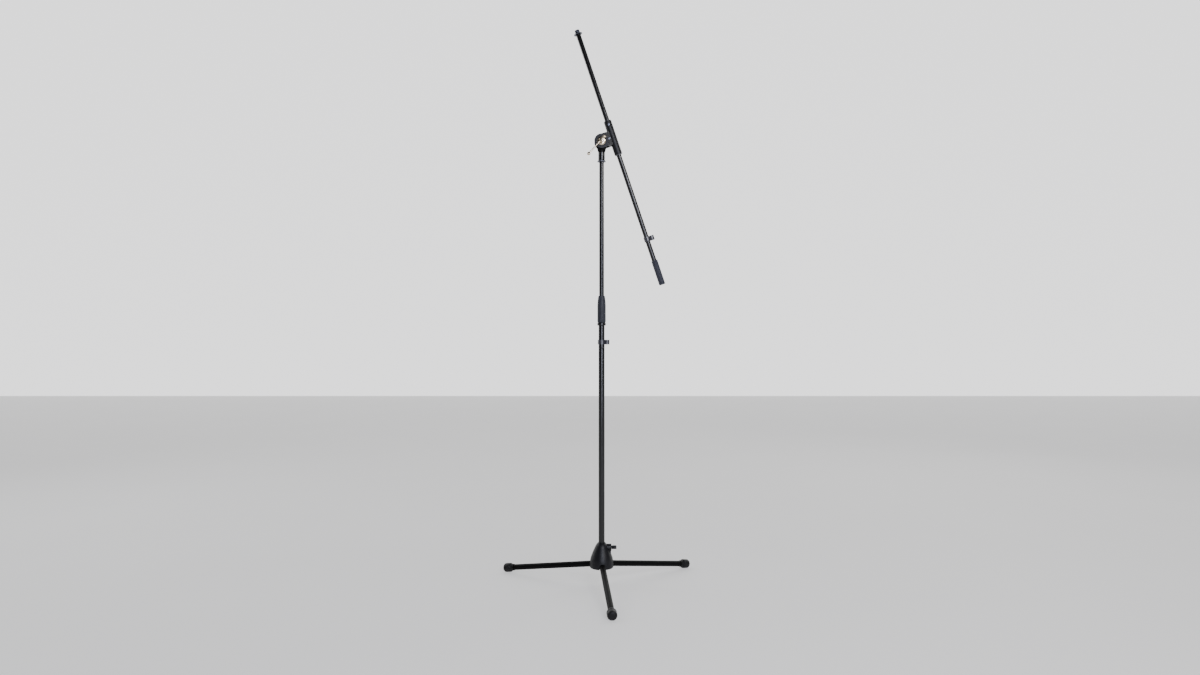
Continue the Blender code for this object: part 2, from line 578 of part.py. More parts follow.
def build_clutch():
    bore = LOWER_TUBE_RADIUS + SHAFT_GAP
    low, high = CLUTCH_RING_Z, CLUTCH_RING_Z + CLUTCH_RING_HEIGHT
    bead = 3 * MM
    lower_edge = arc((CLUTCH_RING_RADIUS - bead, low + bead), bead, -90, 0, 3)
    upper_edge = arc((CLUTCH_RING_RADIUS - bead, high - bead), bead, 0, 90, 3)
    piece("clutch_ring", turned([(bore, low), *lower_edge, *upper_edge, (bore, high)]), gloss_black)

    # the collet is pressed on the lower tube, and its slotted fingers close on the upper one
    skirt = COLLET_SKIRT_RADIUS
    start = CLUTCH_GRIP_Z + 1 * MM
    shoulder = LOWER_TUBE_TOP + GAP
    cone_start = shoulder + COLLET_SHOULDER
    tip = cone_start + COLLET_CONE
    finger_bore = UPPER_TUBE_RADIUS + SHAFT_GAP
    collet = piece("clutch_collet", turned([(bore, start), (skirt, start), (skirt, cone_start),
                                            (COLLET_TIP_RADIUS, tip), (finger_bore, tip),
                                            (finger_bore, shoulder), (bore, shoulder)]), satin_black)
    for index in range(COLLET_SLOTS // 2):
        half = COLLET_SLOT_WIDTH / 2
        slot = block((-2 * skirt, -half, cone_start - 4 * MM), (2 * skirt, half, tip + CUT_OVER))
        turn = 2 * math.pi * index / COLLET_SLOTS
        cut(collet, guide(f"collet_slot_{index + 1}", slot, rotation=(0, 0, turn)))

    low, high = CLUTCH_GRIP_Z, CLUTCH_TOP
    straight = low + CLUTCH_GRIP_STRAIGHT
    edge = 2 * MM
    inner = skirt + GAP
    cone_inner = COLLET_TIP_RADIUS + GAP + 0.1 * MM
    mouth = UPPER_TUBE_RADIUS + CLUTCH_MOUTH_GAP
    top_edge = arc((CLUTCH_GRIP_TOP_RADIUS - edge, high - edge), edge, 15, 90, 4)
    groove = CLUTCH_GRIP_RADIUS - 0.8 * MM
    taper = smooth([(CLUTCH_GRIP_RADIUS, straight - 6 * MM), (CLUTCH_GRIP_RADIUS, straight),
                    (CLUTCH_GRIP_RADIUS - 0.9 * MM, straight + 14 * MM), top_edge[0]])
    piece("clutch_grip", turned([(inner, low), (groove, low), (groove, low + CLUTCH_GROOVE),
                                 (CLUTCH_GRIP_RADIUS, low + CLUTCH_GROOVE + 0.6 * MM),
                                 *taper, *top_edge[1:], (mouth, high), (mouth, tip + 1.5 * MM),
                                 (cone_inner, tip + 1.5 * MM), (cone_inner, tip), (inner, cone_start)]),
          clutch_grey)


def build_upper_pole():
    piece("upper_tube", tube(UPPER_TUBE_BORE, UPPER_TUBE_RADIUS, UPPER_TUBE_Z, UPPER_TUBE_TOP), gloss_black)
    spigot = UPPER_TUBE_BORE - SHAFT_GAP
    bush = LOWER_TUBE_BORE - SHAFT_GAP
    low = UPPER_TUBE_Z - GAP
    bottom, top = low - BUSH_LENGTH, low + BUSH_SPIGOT_LENGTH
    piece("guide_bush", turned([(0, bottom), (bush - 1 * MM, bottom), (bush, bottom + 1.5 * MM),
                                (bush, low), (spigot, low), (spigot, top), (0, top)]), satin_black)
    base = UPPER_TUBE_TOP + GAP
    piece("top_fitting", fitting(base, spigot, FLANGE_TOP + THREAD_LENGTH), black_plated)

    bore = THREAD_RADIUS + SHAFT_GAP
    bead = 1.2 * MM
    lower_edge = arc((COLLAR_RADIUS - bead, COLLAR_Z + bead), bead, -90, 0, 3)
    upper_edge = arc((COLLAR_RADIUS - bead, COLLAR_TOP - bead), bead, 0, 90, 3)
    piece("swivel_collar", turned([(bore, COLLAR_Z), *lower_edge, *upper_edge, (bore, COLLAR_TOP)]),
          gloss_black)
    build_lug()


def fitting(base, spigot, thread_end):
    """A flange with a plug for a tube on one side and a microphone thread on the other."""
    flange_end = base + FITTING_FLANGE_HEIGHT
    edge = 0.5 * MM
    rim = FITTING_FLANGE_RADIUS
    return turned([(0, base - FITTING_SPIGOT), (spigot, base - FITTING_SPIGOT), (spigot, base),
                   (rim - edge, base), (rim, base + edge),
                   (rim, flange_end - edge), (rim - edge, flange_end),
                   (THREAD_RADIUS, flange_end), (THREAD_RADIUS, thread_end - 2 * edge),
                   (THREAD_RADIUS - 2 * edge, thread_end), (0, thread_end)])


def build_lug():
    """The flat eye that the clamp turns on, with a round foot that screws into the collar."""
    low = COLLAR_TOP + GAP
    drop = PIVOT_Z - low
    touch = math.acos(LUG_NECK_TOP_HALF_WIDTH / LUG_RADIUS)
    start = -math.degrees(touch)
    outline = [*arc((0, 0), LUG_RADIUS, start, 180 - start, 30),
               (-LUG_FLANK, -drop + 12 * MM), (-LUG_NECK_HALF_WIDTH, -drop + 1 * MM),
               (LUG_NECK_HALF_WIDTH, -drop + 1 * MM), (LUG_FLANK, -drop + 12 * MM)]
    pivot = (0, 0, PIVOT_Z)
    lug = piece("pivot_lug", prism(outline, -LUG_THICKNESS / 2, LUG_THICKNESS / 2, "Y"), satin_black,
                location=pivot)
    top = low + LUG_BASE_HEIGHT
    foot = turned([(0, low - LUG_SPIGOT_LENGTH), (THREAD_RADIUS, low - LUG_SPIGOT_LENGTH),
                   (THREAD_RADIUS, low), (LUG_NECK_HALF_WIDTH - 0.3 * MM, low),
                   (LUG_NECK_HALF_WIDTH + 0.6 * MM, top - 1 * MM),
                   (LUG_NECK_HALF_WIDTH - 1 * MM, top), (0, top)])
    fuse(lug, guide("lug_foot", foot))
    hole = rod(PIVOT_SCREW_RADIUS + SHAFT_GAP, -LUG_THICKNESS, LUG_THICKNESS, SMALL_SIDES)
    cut(lug, guide("lug_hole", hole, location=pivot, rotation=(math.pi / 2, 0, 0)))


# Cable clips


def build_clip(name, tube_radius, parent, location):
    """A ring on a tube, with an open hook for the cable on its +X side."""
    bore = tube_radius + SHAFT_GAP
    outer = bore + CLIP_WALL
    hook_outer = CLIP_HOOK_BORE_RADIUS + CLIP_WALL
    hook_x = outer + CLIP_HOOK_BORE_RADIUS - CLIP_HOOK_SINK
    half = CLIP_HEIGHT / 2
    clip = piece(name, rod(outer, -half, half), satin_black, parent, location)
    # the hook ends in a round lip on each side of its mouth, a little thicker than its wall
    middle = hook_outer - CLIP_WALL / 2
    start = math.degrees(math.asin((CLIP_MOUTH / 2 + CLIP_LIP_RADIUS) / middle))
    lip_x, lip_y = middle * math.cos(math.radians(start)), middle * math.sin(math.radians(start))
    meet = math.degrees(math.acos(CLIP_WALL / 2 / CLIP_LIP_RADIUS))
    back = math.degrees(CLIP_LIP_RADIUS * math.sin(math.radians(meet)) / middle)
    hook = prism([*arc((hook_x, 0), hook_outer, start + back, 360 - start - back, 28)[:-1],
                  *arc((hook_x + lip_x, -lip_y), CLIP_LIP_RADIUS, -start - meet, 180 + meet - start, 8),
                  *arc((hook_x, 0), CLIP_HOOK_BORE_RADIUS, 360 - start - back, start + back, 24)[1:-1],
                  *arc((hook_x + lip_x, lip_y), CLIP_LIP_RADIUS, start - 180 - meet, start + meet, 8)[:-1]],
                 -half, half)
    fuse(clip, guide(f"{name}_hook", hook, parent, location))
    cut(clip, guide(f"{name}_bore", rod(bore, -CLIP_HEIGHT, CLIP_HEIGHT), parent, location))


# Boom clamp, in a frame whose Z runs along the boom to its tip,
# and whose X runs from the tilt axis to the boom


def build_clamp_half(name, side, frame):
    """Half of the clamp's two-part shell: an ear at the tilt axis, an arm and half of the boom's sleeve."""
    lie = {"rotation": (math.pi / 2, 0, 0)}
    inner, outer = sorted((side * EAR_INNER, side * EAR_OUTER))
    ear_profile = rod(EAR_RADIUS, -outer, -inner, LARGE_SIDES, 0.8 * MM)
    shell = piece(name, ear_profile, satin_black, frame, **lie)
    split = side * GAP / 2
    past = -side * CUT_OVER
    top = EAR_OUTER - ARM_STEP
    arm = [(4 * MM, side * top), (ARM_SLOPE_START, side * top),
           (ARM_SLOPE_END, side * ARM_END_HEIGHT), (SLEEVE_OFFSET, side * ARM_END_HEIGHT),
           (SLEEVE_OFFSET, past), (4 * MM, past)]
    arm_shape = guide(f"{name}_arm", prism(arm, -ARM_HALF_WIDTH, ARM_HALF_WIDTH), frame)
    full_sleeve = rod(SLEEVE_RADIUS, -SLEEVE_LENGTH / 2, SLEEVE_LENGTH / 2, LARGE_SIDES, 0.5 * MM)
    sleeve = guide(f"{name}_sleeve", full_sleeve, frame, (SLEEVE_OFFSET, 0, 0))
    fuse(shell, arm_shape, sleeve)

    reach = SLEEVE_LENGTH
    lug_room = rod(LUG_ROOM_RADIUS, -EAR_INNER, EAR_INNER, LARGE_SIDES)
    neck_room = block((-NECK_ROOM, -EAR_INNER, -reach), (NECK_ROOM, EAR_INNER, reach))
    other_half = [-side * reach, split]
    room = block((-reach, min(other_half), -reach), (reach, max(other_half), reach))
    screw_hole = rod(PIVOT_SCREW_RADIUS + SHAFT_GAP, -reach, reach, SMALL_SIDES)
    cut(shell, guide(f"{name}_lug_room", lug_room, frame, **lie),
        guide(f"{name}_neck_room", neck_room, frame),
        guide(f"{name}_bore", rod(SLEEVE_BORE_RADIUS, -reach, reach), frame, (SLEEVE_OFFSET, 0, 0)),
        guide(f"{name}_other_half", room, frame),
        guide(f"{name}_screw_hole", screw_hole, frame, **lie))
    liner_hole = stepped_hole(LINER_SCREW_RADIUS, LINER_SCREW_HEAD_RADIUS, LINER_RADIUS - 1 * MM,
                              liner_seat())
    cut(shell, guide(f"{name}_liner_hole", liner_hole, frame, liner_screw_place(),
                     (side * -math.pi / 2, 0, 0)))
    return shell


def liner_seat():
    return SLEEVE_RADIUS - 0.4 * MM


def liner_screw_place():
    return (SLEEVE_OFFSET, 0, SLEEVE_LENGTH / 2 - LINER_SCREW_FROM_END)


def stepped_hole(radius, head_radius, low, seat):
    """A screw hole along Z with a wide mouth above the seat of the head."""
    bore = radius + SHAFT_GAP
    head_bore = head_radius + SHAFT_GAP
    mouth = seat + CUT_OVER
    return turned([(0, low), (bore, low), (bore, seat), (head_bore, seat), (head_bore, mouth), (0, mouth)],
                  SMALL_SIDES)


def screw(radius, head_radius, low, seat, head):
    top = seat + GAP
    return turned([(0, low), (radius, low), (radius, top), (head_radius, top),
                   (head_radius, top + head / 2), (head_radius * 0.8, top + head), (0, top + head)],
                  SMALL_SIDES)


def build_clamp(frame):
    lie = {"rotation": (math.pi / 2, 0, 0)}
    front = build_clamp_half("clamp_front", -1, frame)
    back = build_clamp_half("clamp_back", 1, frame)

    # the shell screw comes from the front and bites in the back half
    top = EAR_OUTER - ARM_STEP
    slope = (top - ARM_END_HEIGHT) / ARM_SLOPE_LENGTH
    face = top - slope * (SHELL_SCREW_OFFSET - ARM_SLOPE_START)
    seat = face - SHELL_SCREW_HEAD_HEIGHT
    place = (SHELL_SCREW_OFFSET, 0, 0)
    hole = stepped_hole(SHELL_SCREW_RADIUS, SHELL_SCREW_HEAD_RADIUS, -SHELL_SCREW_GRIP - 1 * MM, seat)
    shell_hole = guide("shell_screw_hole", hole, frame, place, **lie)
    cut(front, shell_hole)
    cut(back, shell_hole)
    piece("shell_screw", screw(SHELL_SCREW_RADIUS, SHELL_SCREW_HEAD_RADIUS, -SHELL_SCREW_GRIP, seat,
                               SHELL_SCREW_HEAD_HEIGHT), black_plated, frame, place, **lie)

    for name, side in (("liner_screw_front", -1), ("liner_screw_back", 1)):
        piece(name, screw(LINER_SCREW_RADIUS, LINER_SCREW_HEAD_RADIUS, LINER_RADIUS - 0.6 * MM, liner_seat(),
                          LINER_SCREW_HEAD_HEIGHT), black_plated, frame, liner_screw_place(),
              (side * -math.pi / 2, 0, 0))

    # the room between lug and ear is shared by the washer and a gap on each of its faces
    room = EAR_INNER - LUG_THICKNESS / 2
    start = LUG_THICKNESS / 2 + (room - WASHER_THICKNESS) / 2
    for name, side in (("friction_washer_front", -1), ("friction_washer_back", 1)):
        low, high = sorted((side * start, side * (start + WASHER_THICKNESS)))
        washer = tube(PIVOT_SCREW_RADIUS + SHAFT_GAP, WASHER_RADIUS, -high, -low)
        piece(name, washer, satin_black, frame, **lie)

    nut_start = EAR_OUTER - NUT_THICKNESS
    hexagon = arc((0, 0), NUT_RADIUS, 0, 300, 5)
    pocket = arc((0, 0), NUT_RADIUS + GAP * 1.2, 0, 300, 5)
    cut(back, guide("nut_pocket", prism(pocket, nut_start - GAP, EAR_OUTER + CUT_OVER, "Y"), frame))
    nut = piece("clamp_nut", prism(hexagon, nut_start, EAR_OUTER, "Y"), bare_steel, frame)
    nut_hole = rod(PIVOT_SCREW_RADIUS + SHAFT_GAP, -2 * EAR_OUTER, 2 * EAR_OUTER, SMALL_SIDES)
    cut(nut, guide("nut_hole", nut_hole, frame, **lie))


def build_clamp_screw():
    """The screw's frame has Z out of the front of the clamp, and X along the sliding handle."""
    frame = frame_empty("clamp_screw_joint", (0, 0, PIVOT_Z), (math.pi / 2, BAR_ANGLE, 0))
    base = EAR_OUTER + GAP
    bore = PIVOT_SCREW_RADIUS + SHAFT_GAP
    crown = smooth([(CUP_RADIUS - 0.3 * MM, base + 1.2 * MM), (CUP_RADIUS - 3 * MM, base + 2.4 * MM),
                    (SCREW_HEAD_RADIUS + 0.5 * MM, base + CUP_HEIGHT)])
    piece("cup_washer", turned([(bore, base), (CUP_RADIUS - 0.4 * MM, base), (CUP_RADIUS, base + 0.5 * MM),
                                *crown, (bore, base + CUP_HEIGHT)]), bright_nickel, frame)
    head_start = base + CUP_HEIGHT + GAP
    head_end = head_start + SCREW_HEAD_LENGTH
    tail = -EAR_OUTER - SCREW_TAIL
    dome = arc((SCREW_HEAD_RADIUS - 3 * MM, head_end - 3 * MM), 3 * MM, 0, 90, 4)
    shape = turned([(0, tail), (PIVOT_SCREW_RADIUS - 0.6 * MM, tail), (PIVOT_SCREW_RADIUS, tail + 0.6 * MM),
                    (PIVOT_SCREW_RADIUS, head_start), (SCREW_HEAD_RADIUS - 0.5 * MM, head_start),
                    (SCREW_HEAD_RADIUS, head_start + 0.5 * MM), *dome, (0, head_end)])
    clamp_screw = piece("clamp_screw", shape, bright_nickel, frame)
    cross_hole = rod(BAR_RADIUS + SHAFT_GAP, -2 * SCREW_HEAD_RADIUS, 2 * SCREW_HEAD_RADIUS, SMALL_SIDES)
    cut(clamp_screw, guide("bar_hole", cross_hole, frame, (0, 0, BAR_HEIGHT), X_DOWN_TO_Z))

    bar_frame = frame_empty("tommy_bar_joint", (0, 0, BAR_HEIGHT), X_DOWN_TO_Z, frame)
    inside = BALL_RADIUS - BALL_DEPTH
    piece("tommy_bar", rod(BAR_RADIUS, -BAR_LONG_SIDE + inside, BAR_SHORT_SIDE - inside, SMALL_SIDES),
          bright_nickel, bar_frame)
    for number, (place, towards) in enumerate(((-BAR_LONG_SIDE, 1), (BAR_SHORT_SIDE, -1)), 1):
        socket = BAR_RADIUS + SHAFT_GAP
        mouth = math.degrees(math.acos(socket / BALL_RADIUS))
        ball = [(r, place + towards * z) for r, z in arc((0, 0), BALL_RADIUS, -90, mouth, 10)]
        ball[0] = (0, ball[0][1])
        bottom = place + towards * (inside - GAP)
        ball += [(socket, bottom), (0, bottom)]
        piece(f"bar_ball_{number}", turned(ball, SMALL_SIDES), bright_nickel, bar_frame)


# Boom, in the clamp's frame moved to the boom's axis


def build_boom(frame):
    groove = SLEEVE_LENGTH / 2 - LINER_SCREW_FROM_END
    half = LINER_GROOVE_WIDTH / 2
    end = SLEEVE_LENGTH / 2 + LINER_STAND_OUT
    bore = BOOM_TUBE_RADIUS + SHAFT_GAP
    waist = LINER_RADIUS - LINER_GROOVE_DEPTH
    low, high = groove - half, groove + half
    piece("boom_liner", turned([(bore, -end), (LINER_RADIUS, -end), (LINER_RADIUS, low), (waist, low),
                                (waist, high), (LINER_RADIUS, high), (LINER_RADIUS, end), (bore, end)]),
          satin_black, frame)
    flange_base = BOOM_TIP_SIDE - THREAD_LENGTH - FITTING_FLANGE_HEIGHT
    tip_fitting = fitting(flange_base, BOOM_TUBE_BORE - SHAFT_GAP, BOOM_TIP_SIDE)
    piece("tip_fitting", tip_fitting, black_plated, frame)
    low = BOOM_TIP_SIDE - BOOM_LENGTH
    tube_low = low + GRIP_END_WALL + GAP
    piece("boom_tube", tube(BOOM_TUBE_BORE, BOOM_TUBE_RADIUS, tube_low, flange_base - GAP), gloss_black,
          frame)
    edge = 1.5 * MM
    lower_edge = arc((GRIP_RADIUS - edge, low + edge), edge, -90, 0, 3)
    upper_edge = arc((GRIP_RADIUS - 0.8 * MM, low + GRIP_LENGTH - 0.8 * MM), 0.8 * MM, 0, 90, 2)
    piece("boom_grip", turned([(0, low), *lower_edge, *upper_edge, (bore, low + GRIP_LENGTH),
                               (bore, low + GRIP_END_WALL), (0, low + GRIP_END_WALL)]), rubber_black, frame)
    build_clip("boom_clip", BOOM_TUBE_RADIUS, frame, (0, 0, low + GRIP_LENGTH + BOOM_CLIP_ABOVE_GRIP))


def build_stand():
    clear_scene()
    lock_frame = frame_empty("lock_joint", (0, 0, LOCK_Z), X_DOWN_TO_Z)
    build_hub(lock_frame)
    build_lock(lock_frame)
    for index in range(LEG_COUNT):
        build_leg(index)
    build_lower_pole()
    build_clutch()
    build_clip("pole_clip", LOWER_TUBE_RADIUS, None, (0, 0, POLE_CLIP_Z))
    build_upper_pole()
    tilt_frame = frame_empty("boom_tilt_joint", (0, 0, PIVOT_Z), (0, BOOM_TILT, 0))
    build_clamp(tilt_frame)
    build_clamp_screw()
    boom_frame = frame_empty("boom_slide_joint", (SLEEVE_OFFSET, 0, 0), parent=tilt_frame)
    build_boom(boom_frame)


build_stand()
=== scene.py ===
import json
import math

import bmesh
import bpy
import numpy as np
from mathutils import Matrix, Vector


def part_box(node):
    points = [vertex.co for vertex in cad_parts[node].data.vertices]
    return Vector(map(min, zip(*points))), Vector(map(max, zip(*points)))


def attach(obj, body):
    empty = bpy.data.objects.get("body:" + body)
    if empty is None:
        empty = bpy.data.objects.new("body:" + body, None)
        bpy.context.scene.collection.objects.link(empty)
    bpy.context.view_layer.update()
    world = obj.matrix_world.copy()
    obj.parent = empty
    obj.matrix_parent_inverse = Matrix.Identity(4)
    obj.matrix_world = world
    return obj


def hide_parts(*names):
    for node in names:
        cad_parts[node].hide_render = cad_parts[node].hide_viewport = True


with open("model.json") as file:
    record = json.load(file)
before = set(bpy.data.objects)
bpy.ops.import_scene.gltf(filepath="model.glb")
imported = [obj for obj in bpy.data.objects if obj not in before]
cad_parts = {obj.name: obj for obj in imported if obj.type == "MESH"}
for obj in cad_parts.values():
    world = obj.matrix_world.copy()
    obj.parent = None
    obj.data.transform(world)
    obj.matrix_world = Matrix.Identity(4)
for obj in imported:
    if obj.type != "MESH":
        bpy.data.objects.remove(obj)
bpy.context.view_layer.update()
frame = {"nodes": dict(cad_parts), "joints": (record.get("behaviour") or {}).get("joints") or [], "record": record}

mm = 0.001
play = 0.3 * mm  # between pieces that don't touch
beyond = 5 * mm  # from the end of a cut to the end of the shape that makes it
joints = {joint["name"]: joint for joint in frame["joints"]}
bodyOf = {node: body for body, nodes in frame["record"]["behaviour"]["bodies"].items() for node in nodes}
floorZ = float(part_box("foot_1")[0][2])


# Places: an origin and three directions, the third along the piece

def lieOf(origin, along, side):
    third = np.array(along, float) / np.linalg.norm(along)
    first = np.array(side, float) - third * np.dot(side, third)
    first /= np.linalg.norm(first)
    turn = np.column_stack([first, np.cross(third, first), third])
    return {"origin": np.array(origin, float), "turn": turn}


def cornersOf(node):
    mesh = frame["nodes"][node].data
    flat = np.empty(len(mesh.vertices) * 3)
    mesh.vertices.foreach_get("co", flat)
    return flat.reshape(-1, 3)


def reach(node, lie):
    # how far a CAD node goes along the line, and its least and greatest distance from it
    local = (cornersOf(node) - lie["origin"]) @ lie["turn"]
    away = np.hypot(local[:, 0], local[:, 1])
    return local[:, 2].min(), local[:, 2].max(), away.min(), away.max()


def span(node, lie):
    # the same without the least distance, for a piece with nothing through it
    low, high, near, far = reach(node, lie)
    return low, high, far


up = (0, 0, 1)
pivot = np.array(joints["boom_tilt"]["pos_m"])
boomMiddle = np.array(joints["boom_spin"]["pos_m"])
boomWay = joints["boom_slide"]["axis"]
barWay = joints["tommy_bar_slide"]["axis"]
front = (0, -1, 0)
poleLie = lieOf((0, 0, 0), up, (1, 0, 0))
boomLie = lieOf(boomMiddle, boomWay, boomMiddle - pivot)
clampLie = lieOf(pivot, boomWay, boomMiddle - pivot)
earLie = lieOf(pivot, front, boomMiddle - pivot)
screwLie = lieOf(pivot, front, barWay)
barLie = lieOf(np.mean(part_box("tommy_bar"), axis=0), barWay, front)
lockLie = lieOf((0, 0, joints["base_lock_turn"]["pos_m"][2]), (1, 0, 0), up)


def legLie(number):
    # from the leg's pin along the tube
    hinge = np.array(joints[f"leg_{number}_fold"]["pos_m"])
    return lieOf(hinge, cornersOf(f"leg_tube_{number}").mean(axis=0) - hinge, up)


def pinLie(number):
    # from the pin's middle along the pin
    joint = joints[f"leg_{number}_fold"]
    return lieOf(joint["pos_m"], joint["axis"], up)


# Shapes: points and faces in a piece's own frame

def rounded(corners, steps=4):
    # each corner (radius, height, rounding) becomes the parabola (1-t)^2 a + 2t(1-t) c + t^2 b
    # between a and b, a rounding away from the corner c on its two sides
    corner = np.array(corners, float)

    def toward(other):
        step = other[:, :2] - corner[:, :2]
        length = np.linalg.norm(step, axis=1, keepdims=True)
        return corner[:, :2] + step / np.maximum(length, 1e-9) * np.minimum(corner[:, 2:], 0.49 * length)

    a, b = toward(np.roll(corner, 1, 0))[:, None], toward(np.roll(corner, -1, 0))[:, None]
    t = np.linspace(0, 1, steps + 1)[None, :, None]
    return ((1 - t) ** 2 * a + 2 * t * (1 - t) * corner[:, None, :2] + t ** 2 * b).reshape(-1, 2)


def curveThrough(points, perSpan=8):
    # a Catmull-Rom curve: each span is a cubic in t whose slope at a point is half the chord past it
    p = np.array(points, float)
    p = np.vstack([2 * p[0] - p[1], p, 2 * p[-1] - p[-2]])
    a, b, c, d = p[:-3, None], p[1:-2, None], p[2:-1, None], p[3:, None]
    t = (np.arange(perSpan) / perSpan)[None, :, None]
    bend, twist = 2 * a - 5 * b + 4 * c - d, 3 * b - a - 3 * c + d
    spans = 0.5 * (2 * b + (c - a) * t + bend * t ** 2 + twist * t ** 3)
    return np.vstack([spans.reshape(-1, p.shape[1]), p[-2]])


def arc(center, radius, start, end, steps):
    # points center + radius (cos t, sin t) for t from start to end, in degrees
    t = np.radians(np.linspace(start, end, steps + 1))
    return np.column_stack([center[0] + radius * np.cos(t), center[1] + radius * np.sin(t)])


def ringFaces(rows, sides):
    # four-cornered faces of a closed grid: corner (i, j) is point i * sides + j, both counted round
    i, j = np.meshgrid(np.arange(rows), np.arange(sides), indexing="ij")
    k, l = (i + 1) % rows, (j + 1) % sides
    return np.stack([i * sides + j, i * sides + l, k * sides + l, k * sides + j], -1).reshape(-1, 4).tolist()


def turned(profile, sides=72, swell=None):
    # a point (r, h) of the closed profile stands at (r cos t, r sin t, h) for every angle t,
    # and swell(t, h, r) is added to r
    profile = np.asarray(profile, float)
    t = np.linspace(0, 2 * np.pi, sides, endpoint=False)[None, :]
    r, h = profile[:, :1] + 0 * t, profile[:, 1:] + 0 * t
    if swell:
        r = r + swell(t, h, r)
    return np.stack([r * np.cos(t), r * np.sin(t), h], -1).reshape(-1, 3), ringFaces(len(profile), sides)


def upright(radius, heights):
    # a straight run of a profile: the same radius at every height
    return np.column_stack([np.full(len(heights), radius), heights])


def band(bore, radius, low, high, inner, outer, steps=4):
    # a rectangle between two radii and two heights, its inner and outer corners rounded
    return rounded([(bore, low, inner), (radius, low, outer),
                    (radius, high, outer), (bore, high, inner)], steps)


def rod(radius, low, high, sides=72, edge=0.0):
    # a closed cylinder: the rectangle radius by (high - low) turned about its axis, outer corners rounded
    return turned(rounded([(0, low, 0), (radius, low, edge), (radius, high, edge), (0, high, 0)]), sides)


def prism(outline, low, high):
    # the outline (x, y) at two heights, joined by walls and closed by two faces
    outline = np.asarray(outline, float)
    n = len(outline)
    j = np.arange(n)
    walls = np.stack([j, (j + 1) % n, (j + 1) % n + n, j + n], -1).tolist()
    points = np.vstack([np.column_stack([outline, np.full(n, h)]) for h in (low, high)])
    return points, [*walls, j[::-1].tolist(), (j + n).tolist()]


def slab(low, high):
    # the box between two opposite corners, as a rectangle carried from one height to the other
    corners = [(low[0], low[1]), (high[0], low[1]), (high[0], high[1]), (low[0], high[1])]
    return prism(corners, low[2], high[2])


def laid(shape, lie):
    # a point (x, y, z) goes to the origin plus x, y and z times the three directions
    return lie["origin"] + np.asarray(shape[0]) @ lie["turn"].T, shape[1]


def shifted(shape, *step):
    # every point plus the same step
    return shape[0] + np.array(step), shape[1]


def swapped(shape, order, signs=(1, 1, 1)):
    # every point's coordinates in another order, times one sign each
    return shape[0][:, order] * signs, shape[1]


def thread(low, high, pitch, depth):
    # a helical vee groove: its depth is a triangle wave of height over pitch less one turn of the angle,
    # fading in over the first and last three quarters of a pitch
    def swell(t, h, r):
        wave = 2 * np.abs(np.mod(h / pitch - t / (2 * np.pi), 1) - 0.5)
        fade = np.clip(np.minimum(h - low, high - h) / (0.75 * pitch), 0, 1)
        return -depth * wave * fade * (r > 4 * depth)
    return swell


def sunkRings(heights, halfWidth, depth, least):
    # sunk rings, each a parabola of the distance from its height, on what is farther out than least
    def swell(t, h, r):
        away = np.min([np.abs(h - height) for height in heights], axis=0)
        return -depth * np.clip(1 - (away / halfWidth) ** 2, 0, 1) * (r > least)
    return swell


def meshOf(name, shape):
    # points on the axis meet in one, and all faces look outward
    mesh = bpy.data.meshes.new(name)
    mesh.from_pydata(np.asarray(shape[0]).tolist(), [], shape[1])
    bm = bmesh.new()
    bm.from_mesh(mesh)
    bmesh.ops.remove_doubles(bm, verts=bm.verts, dist=2e-6)
    bmesh.ops.recalc_face_normals(bm, faces=bm.faces)
    bm.to_mesh(mesh)
    bm.free()
    return mesh


def linked(name, data):
    obj = bpy.data.objects.new(name, data)
    bpy.context.collection.objects.link(obj)
    return obj


def carved(start, joined=(), taken=()):
    # start plus every joined shape, less every taken one, all in one frame
    base = linked("carving", meshOf("carving", start))
    helpers = []
    for operation, shapes in (("UNION", joined), ("DIFFERENCE", taken)):
        for shape in shapes:
            helper = linked("helper", meshOf("helper", shape))
            helpers.append(helper)
            modifier = base.modifiers.new(operation.title(), "BOOLEAN")
            modifier.object = helper
            modifier.operation = operation
            modifier.solver = "EXACT"
    bpy.context.view_layer.update()
    made = bpy.data.meshes.new_from_object(base.evaluated_get(bpy.context.evaluated_depsgraph_get()))
    for obj in (base, *helpers):
        bpy.data.objects.remove(obj, do_unlink=True)
    points = np.empty(len(made.vertices) * 3)
    made.vertices.foreach_get("co", points)
    return points.reshape(-1, 3), [list(face.vertices) for face in made.polygons]


def show(node, shape, lie, slot, edge=0.0, edgeSteps=2, flatten=None, finish=None):
    # put a piece in place of its CAD node, on its body and with the slot's finish unless another is named;
    # the piece is called like the node, in camel case and without the word friction
    first, *rest = node.removeprefix("friction_").split("_")
    name = first + "".join(word.title() for word in rest)
    points, faces = laid(shape, lie)
    if flatten is not None:
        points = np.column_stack([points[:, :2], np.maximum(points[:, 2], flatten)])
    mesh = meshOf(name, (points, faces))
    mesh.shade_smooth()
    mesh.set_sharp_from_angle(angle=math.radians(32))
    obj = linked(name, mesh)
    if edge:
        bevel = obj.modifiers.new("Bevel", "BEVEL")
        bevel.width = edge
        bevel.segments = edgeSteps
        bevel.limit_method = "ANGLE"
        bevel.angle_limit = math.radians(32)
        bevel.harden_normals = True
    mesh.materials.append(finishes[finish or slot])
    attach(obj, bodyOf[node])
    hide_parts(node)


# Finishes

class Wire:
    # a socket whose arithmetic adds Math nodes
    def __init__(self, finish, socket):
        self.finish = finish
        self.socket = socket

    def maths(self, operation, first, second=0.0):
        node = self.finish.add("ShaderNodeMath", {"operation": operation}, {0: first, 1: second})
        return Wire(self.finish, node.outputs[0])

    def __add__(self, other):
        return self.maths("ADD", self, other)

    def __sub__(self, other):
        return self.maths("SUBTRACT", self, other)

    def __rsub__(self, other):
        return self.maths("SUBTRACT", other, self)

    def __mul__(self, other):
        return self.maths("MULTIPLY", self, other)

    __radd__ = __add__
    __rmul__ = __mul__


